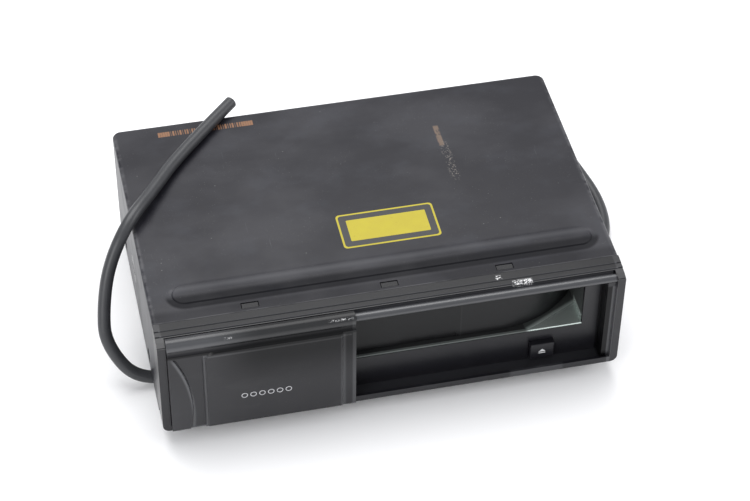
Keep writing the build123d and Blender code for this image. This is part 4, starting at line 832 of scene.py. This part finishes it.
def make_cable_end():
    """The cut end: a ring of screen and filler, one core in the middle and six round it."""
    before, last = np.array(CABLE_ROUTE[-2:])
    along = (last - before) / np.linalg.norm(last - before)
    side, up = sides_of(along)
    rubber = plain_paint("core_filler", (0.05, 0.05, 0.05), 0.7, (0.1, 0.1, 0.1))
    screen = turned(SCREEN_PROFILE, last, along)
    piece("cable_screen", screen, "case", rubber, smooth=True)
    turns = [i * 2 * math.pi / OUTER_CORES for i in range(OUTER_CORES)]
    places = [last] + [last + CORE_RING * (side * math.cos(a) + up * math.sin(a)) for a in turns]
    cores = gathered([turned(CORE_PROFILE, place, along) for place in places])
    copper = plain_paint("core_ends", (0.32, 0.2, 0.12), 0.4, (0.5, 0.5, 0.5), Metallic=0.4)
    piece("cable_cores", cores, "case", copper, smooth=True)


def make_strain_relief(settings):
    """Ribbed boot where the cable leaves the rear: along the boot, for a share t from 0 to 1, the
    radius is 6.4 - 1.9 t + 0.45 cos(12 pi t), which gives six rounded ribs."""
    start, end = GLAND_LOW.y / MM, GLAND_HIGH.y / MM
    wall = COVER_HIGH.y / MM
    share = np.linspace(0.0, 1.0, 60)
    radius = 6.4 - 1.9 * share + 0.45 * np.cos(share * 2 * np.pi * 6)
    boot = wall + 2.0 + share * (end - wall - 2.0)
    profile = [(start, 4.2), (start, 7.0), (start + 1.8, 7.3), (start + 2.0, 5.7), (wall, 5.7)]
    profile += [(wall, 8.4), (wall + 0.5, 8.9), (wall + 1.6, 8.9), (wall + 2.0, 8.4)]
    profile += [*zip(boot, radius), (end, settings.diameter / MM / 2 - 0.1)]
    relief = turned(profile, np.array([GLAND_X, 0.0, GLAND_Z]), np.array([0.0, 1.0, 0.0]), 40)
    material = bpy.data.materials["moulded_rubber"]
    made = piece("strain_relief", relief, "case", material, smooth=True)
    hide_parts("cable_gland")
    return made


# ================================================================ studio


FLOOR_CORNERS = np.array([[(-6e3, -6e3, 0), (6e3, -6e3, 0)], [(-6e3, 9e3, 0), (6e3, 9e3, 0)]])
LIGHTS = (
    ("overhead_rear", (-0.05, 0.6, 1.7), 1.5, 1.0),
    ("front_left", (-1.2, -1.1, 0.9), 0.9, 0.4),
    ("right_side", (1.4, -0.3, 0.8), 0.7, 0.2),
)
LIGHTS_AIM = Vector((0, 0, 0.04))


def make_camera():
    """Camera at the photograph's place: it looks back along place - target, level with the
    horizon and then rolled by the solved angle; the focus in pixels gives the lens."""
    data = bpy.data.cameras.new("camera")
    data.sensor_width = 36.0
    data.lens = CAMERA_FOCUS_PX / PHOTO_WIDTH * data.sensor_width
    data.clip_start, data.clip_end = 0.05, 20.0
    camera = bpy.data.objects.new("camera", data)
    bpy.context.scene.collection.objects.link(camera)
    back = (CAMERA_PLACE - CAMERA_TARGET).normalized()
    right = Vector((0, 0, 1)).cross(back).normalized()
    up = back.cross(right)
    turned_right = right * math.cos(CAMERA_ROLL) + up * math.sin(CAMERA_ROLL)
    turned_up = up * math.cos(CAMERA_ROLL) - right * math.sin(CAMERA_ROLL)
    matrix = np.eye(4)
    matrix[:3] = np.stack([turned_right, turned_up, back, CAMERA_PLACE], -1)
    camera.matrix_world = matrix.T.tolist()
    bpy.context.scene.camera = camera


def make_studio(settings):
    """The camera, a plain pale floor, a white surround and large soft lights."""
    make_camera()
    sweep = Finish("pale_floor", Roughness=0.6)
    sweep.colour((0.93, 0.93, 0.94))
    mesh_object("floor", ring_surface(FLOOR_CORNERS, wrap=False), sweep.material)
    world = bpy.data.worlds.new("studio")
    bpy.context.scene.world = world
    world.use_nodes = True
    sky = world.node_tree.nodes["Background"]
    sky.inputs["Color"].default_value = (0.97, 0.98, 1.0, 1.0)
    sky.inputs["Strength"].default_value = settings.sky_strength
    for name, place, size, share in LIGHTS:
        light = bpy.data.lights.new(name, "AREA")
        light.size = size
        light.energy = settings.key_power * share
        lamp = bpy.data.objects.new(name, light)
        lamp.location = place
        lamp.rotation_mode = "QUATERNION"
        lamp.rotation_quaternion = (Vector(place) - LIGHTS_AIM).to_track_quat("Z", "Y")
        bpy.context.scene.collection.objects.link(lamp)
    bpy.context.scene.view_settings.view_transform = "Standard"
    bpy.context.scene.view_settings.exposure = settings.exposure


# ================================================================ add-on


class ChangerCaseSettings(bpy.types.PropertyGroup):
    cover_colour: bpy.props.FloatVectorProperty(
        name="Cover colour", description="Paint of the sheet cover", subtype="COLOR",
        default=(0.0104, 0.0102, 0.0146), min=0, max=1,
    )
    plastic_colour: bpy.props.FloatVectorProperty(
        name="Plastic colour", description="Moulded front and door", subtype="COLOR",
        default=(0.0072, 0.0071, 0.0094), min=0, max=1,
    )


class ChangerStickerSettings(bpy.types.PropertyGroup):
    width: bpy.props.FloatProperty(
        name="Sticker width", description="Side to side, over the yellow edge",
        default=0.0546, min=0.02, max=0.2, unit="LENGTH",
    )
    depth: bpy.props.FloatProperty(
        name="Sticker depth", description="Front to back, over the yellow edge",
        default=0.0265, min=0.015, max=0.06, unit="LENGTH",
    )
    colour: bpy.props.FloatVectorProperty(
        name="Sticker colour", description="Panel and edge of the blank sticker", subtype="COLOR",
        default=(0.44, 0.38, 0.018), min=0, max=1,
    )


class ChangerPrintSettings(bpy.types.PropertyGroup):
    row_length: bpy.props.FloatProperty(
        name="Row length", description="Length of the row of ticks on the cover",
        default=0.055, min=0.01, max=0.1, unit="LENGTH",
    )
    row_depth: bpy.props.FloatProperty(
        name="Tick length", description="Front to back length of each tick",
        default=0.004, min=0.001, max=0.01, unit="LENGTH",
    )
    tick_colour: bpy.props.FloatVectorProperty(
        name="Tick colour", description="Ink of the row of ticks", subtype="COLOR",
        default=(0.21, 0.10, 0.048), min=0, max=1,
    )
    ring_colour: bpy.props.FloatVectorProperty(
        name="Ring colour", description="Ink of the rings on the door", subtype="COLOR",
        default=(0.5, 0.5, 0.52), min=0, max=1,
    )


class ChangerCableSettings(bpy.types.PropertyGroup):
    diameter: bpy.props.FloatProperty(
        name="Cable diameter", description="Outer diameter of the jacket",
        default=2 * CABLE_RADIUS * MM, min=0.004, max=0.012, unit="LENGTH",
    )
    colour: bpy.props.FloatVectorProperty(
        name="Cable colour", description="Darker tone of the jacket", subtype="COLOR",
        default=(0.026, 0.027, 0.030), min=0, max=1,
    )


class ChangerStudioSettings(bpy.types.PropertyGroup):
    sky_strength: bpy.props.FloatProperty(
        name="Sky", description="Brightness of the white surround", default=0.63, min=0
    )
    key_power: bpy.props.FloatProperty(
        name="Key light", description="Power of the overhead light", default=30.0, min=0,
        unit="POWER",
    )
    exposure: bpy.props.FloatProperty(
        name="Exposure", description="Exposure of the view, in stops", default=0.0
    )


class CHANGER_OT_studio(bpy.types.Operator):
    """Add the camera, the pale floor and the lights"""

    bl_idname = "changer.studio"
    bl_label = "Studio"

    def execute(self, context):
        make_studio(context.scene.changer_studio)
        return {"FINISHED"}


class CHANGER_OT_cover(bpy.types.Operator):
    """Paint the sheet cover"""

    bl_idname = "changer.cover"
    bl_label = "Cover"

    def execute(self, context):
        cover_paint(context.scene.changer_case)
        return {"FINISHED"}


class CHANGER_OT_mouldings(bpy.types.Operator):
    """Finish the front, the door, the button and the dials"""

    bl_idname = "changer.mouldings"
    bl_label = "Mouldings"

    def execute(self, context):
        moulded_black(context.scene.changer_case)
        return {"FINISHED"}


class CHANGER_OT_magazine(bpy.types.Operator):
    """Finish the magazine, its trays and its discs"""

    bl_idname = "changer.magazine"
    bl_label = "Magazine"

    def execute(self, context):
        magazine_finishes()
        return {"FINISHED"}


class CHANGER_OT_metalwork(bpy.types.Operator):
    """Finish the plated sheet, the turned steel and the castings"""

    bl_idname = "changer.metalwork"
    bl_label = "Metalwork"

    def execute(self, context):
        plated_sheet()
        return {"FINISHED"}


class CHANGER_OT_small_parts(bpy.types.Operator):
    """Finish the gears, the boards, the rubber and the lens"""

    bl_idname = "changer.small_parts"
    bl_label = "Small Parts"

    def execute(self, context):
        small_part_finishes()
        return {"FINISHED"}


class CHANGER_OT_cable(bpy.types.Operator):
    """Add the control cable with its cut end and strain relief"""

    bl_idname = "changer.cable"
    bl_label = "Cable"

    def execute(self, context):
        settings = context.scene.changer_cable
        cable = make_cable(settings)
        make_cable_end()
        relief = make_strain_relief(settings)
        return {"FINISHED"}


class CHANGER_OT_sticker(bpy.types.Operator):
    """Add the blank sticker"""

    bl_idname = "changer.sticker"
    bl_label = "Sticker"

    def execute(self, context):
        make_sticker(context.scene.changer_sticker)
        return {"FINISHED"}


class CHANGER_OT_prints(bpy.types.Operator):
    """Add the printed ticks, the door's rings, the eject mark and the dials' lines"""

    bl_idname = "changer.prints"
    bl_label = "Prints"

    def execute(self, context):
        settings = context.scene.changer_print
        make_print(settings)
        make_door_rings(settings)
        make_eject_mark()
        make_dial_marks()
        return {"FINISHED"}


class CHANGER_OT_recesses(bpy.types.Operator):
    """Add the cross recesses of the cover screws"""

    bl_idname = "changer.recesses"
    bl_label = "Screw Recesses"

    def execute(self, context):
        make_screw_recesses()
        return {"FINISHED"}


OPERATORS = (
    CHANGER_OT_studio, CHANGER_OT_cover, CHANGER_OT_mouldings, CHANGER_OT_magazine,
    CHANGER_OT_metalwork, CHANGER_OT_small_parts, CHANGER_OT_cable, CHANGER_OT_sticker,
    CHANGER_OT_prints, CHANGER_OT_recesses,
)
GROUPS = {
    "changer_case": ChangerCaseSettings,
    "changer_sticker": ChangerStickerSettings,
    "changer_print": ChangerPrintSettings,
    "changer_cable": ChangerCableSettings,
    "changer_studio": ChangerStudioSettings,
}


class CHANGER_PT_panel(bpy.types.Panel):
    bl_label = "Disc Changer"
    bl_idname = "CHANGER_PT_panel"
    bl_space_type = "VIEW_3D"
    bl_region_type = "UI"
    bl_category = "Disc Changer"

    def draw(self, context):
        for pointer, group in GROUPS.items():
            for name in group.__annotations__:
                self.layout.prop(getattr(context.scene, pointer), name)
        for operator in OPERATORS:
            self.layout.operator(operator.bl_idname)


CLASSES = (*GROUPS.values(), *OPERATORS, CHANGER_PT_panel)


def register():
    for made in CLASSES:
        bpy.utils.register_class(made)
    for pointer, group in GROUPS.items():
        setattr(bpy.types.Scene, pointer, bpy.props.PointerProperty(type=group))


def unregister():
    for pointer in GROUPS:
        delattr(bpy.types.Scene, pointer)
    for made in reversed(CLASSES):
        bpy.utils.unregister_class(made)


def main():
    register()
    bpy.ops.changer.studio()
    bpy.ops.changer.cover()
    bpy.ops.changer.mouldings()
    bpy.ops.changer.magazine()
    bpy.ops.changer.metalwork()
    bpy.ops.changer.small_parts()
    bpy.ops.changer.cable()
    bpy.ops.changer.sticker()
    bpy.ops.changer.prints()
    bpy.ops.changer.recesses()


if __name__ == "__main__":
    main()
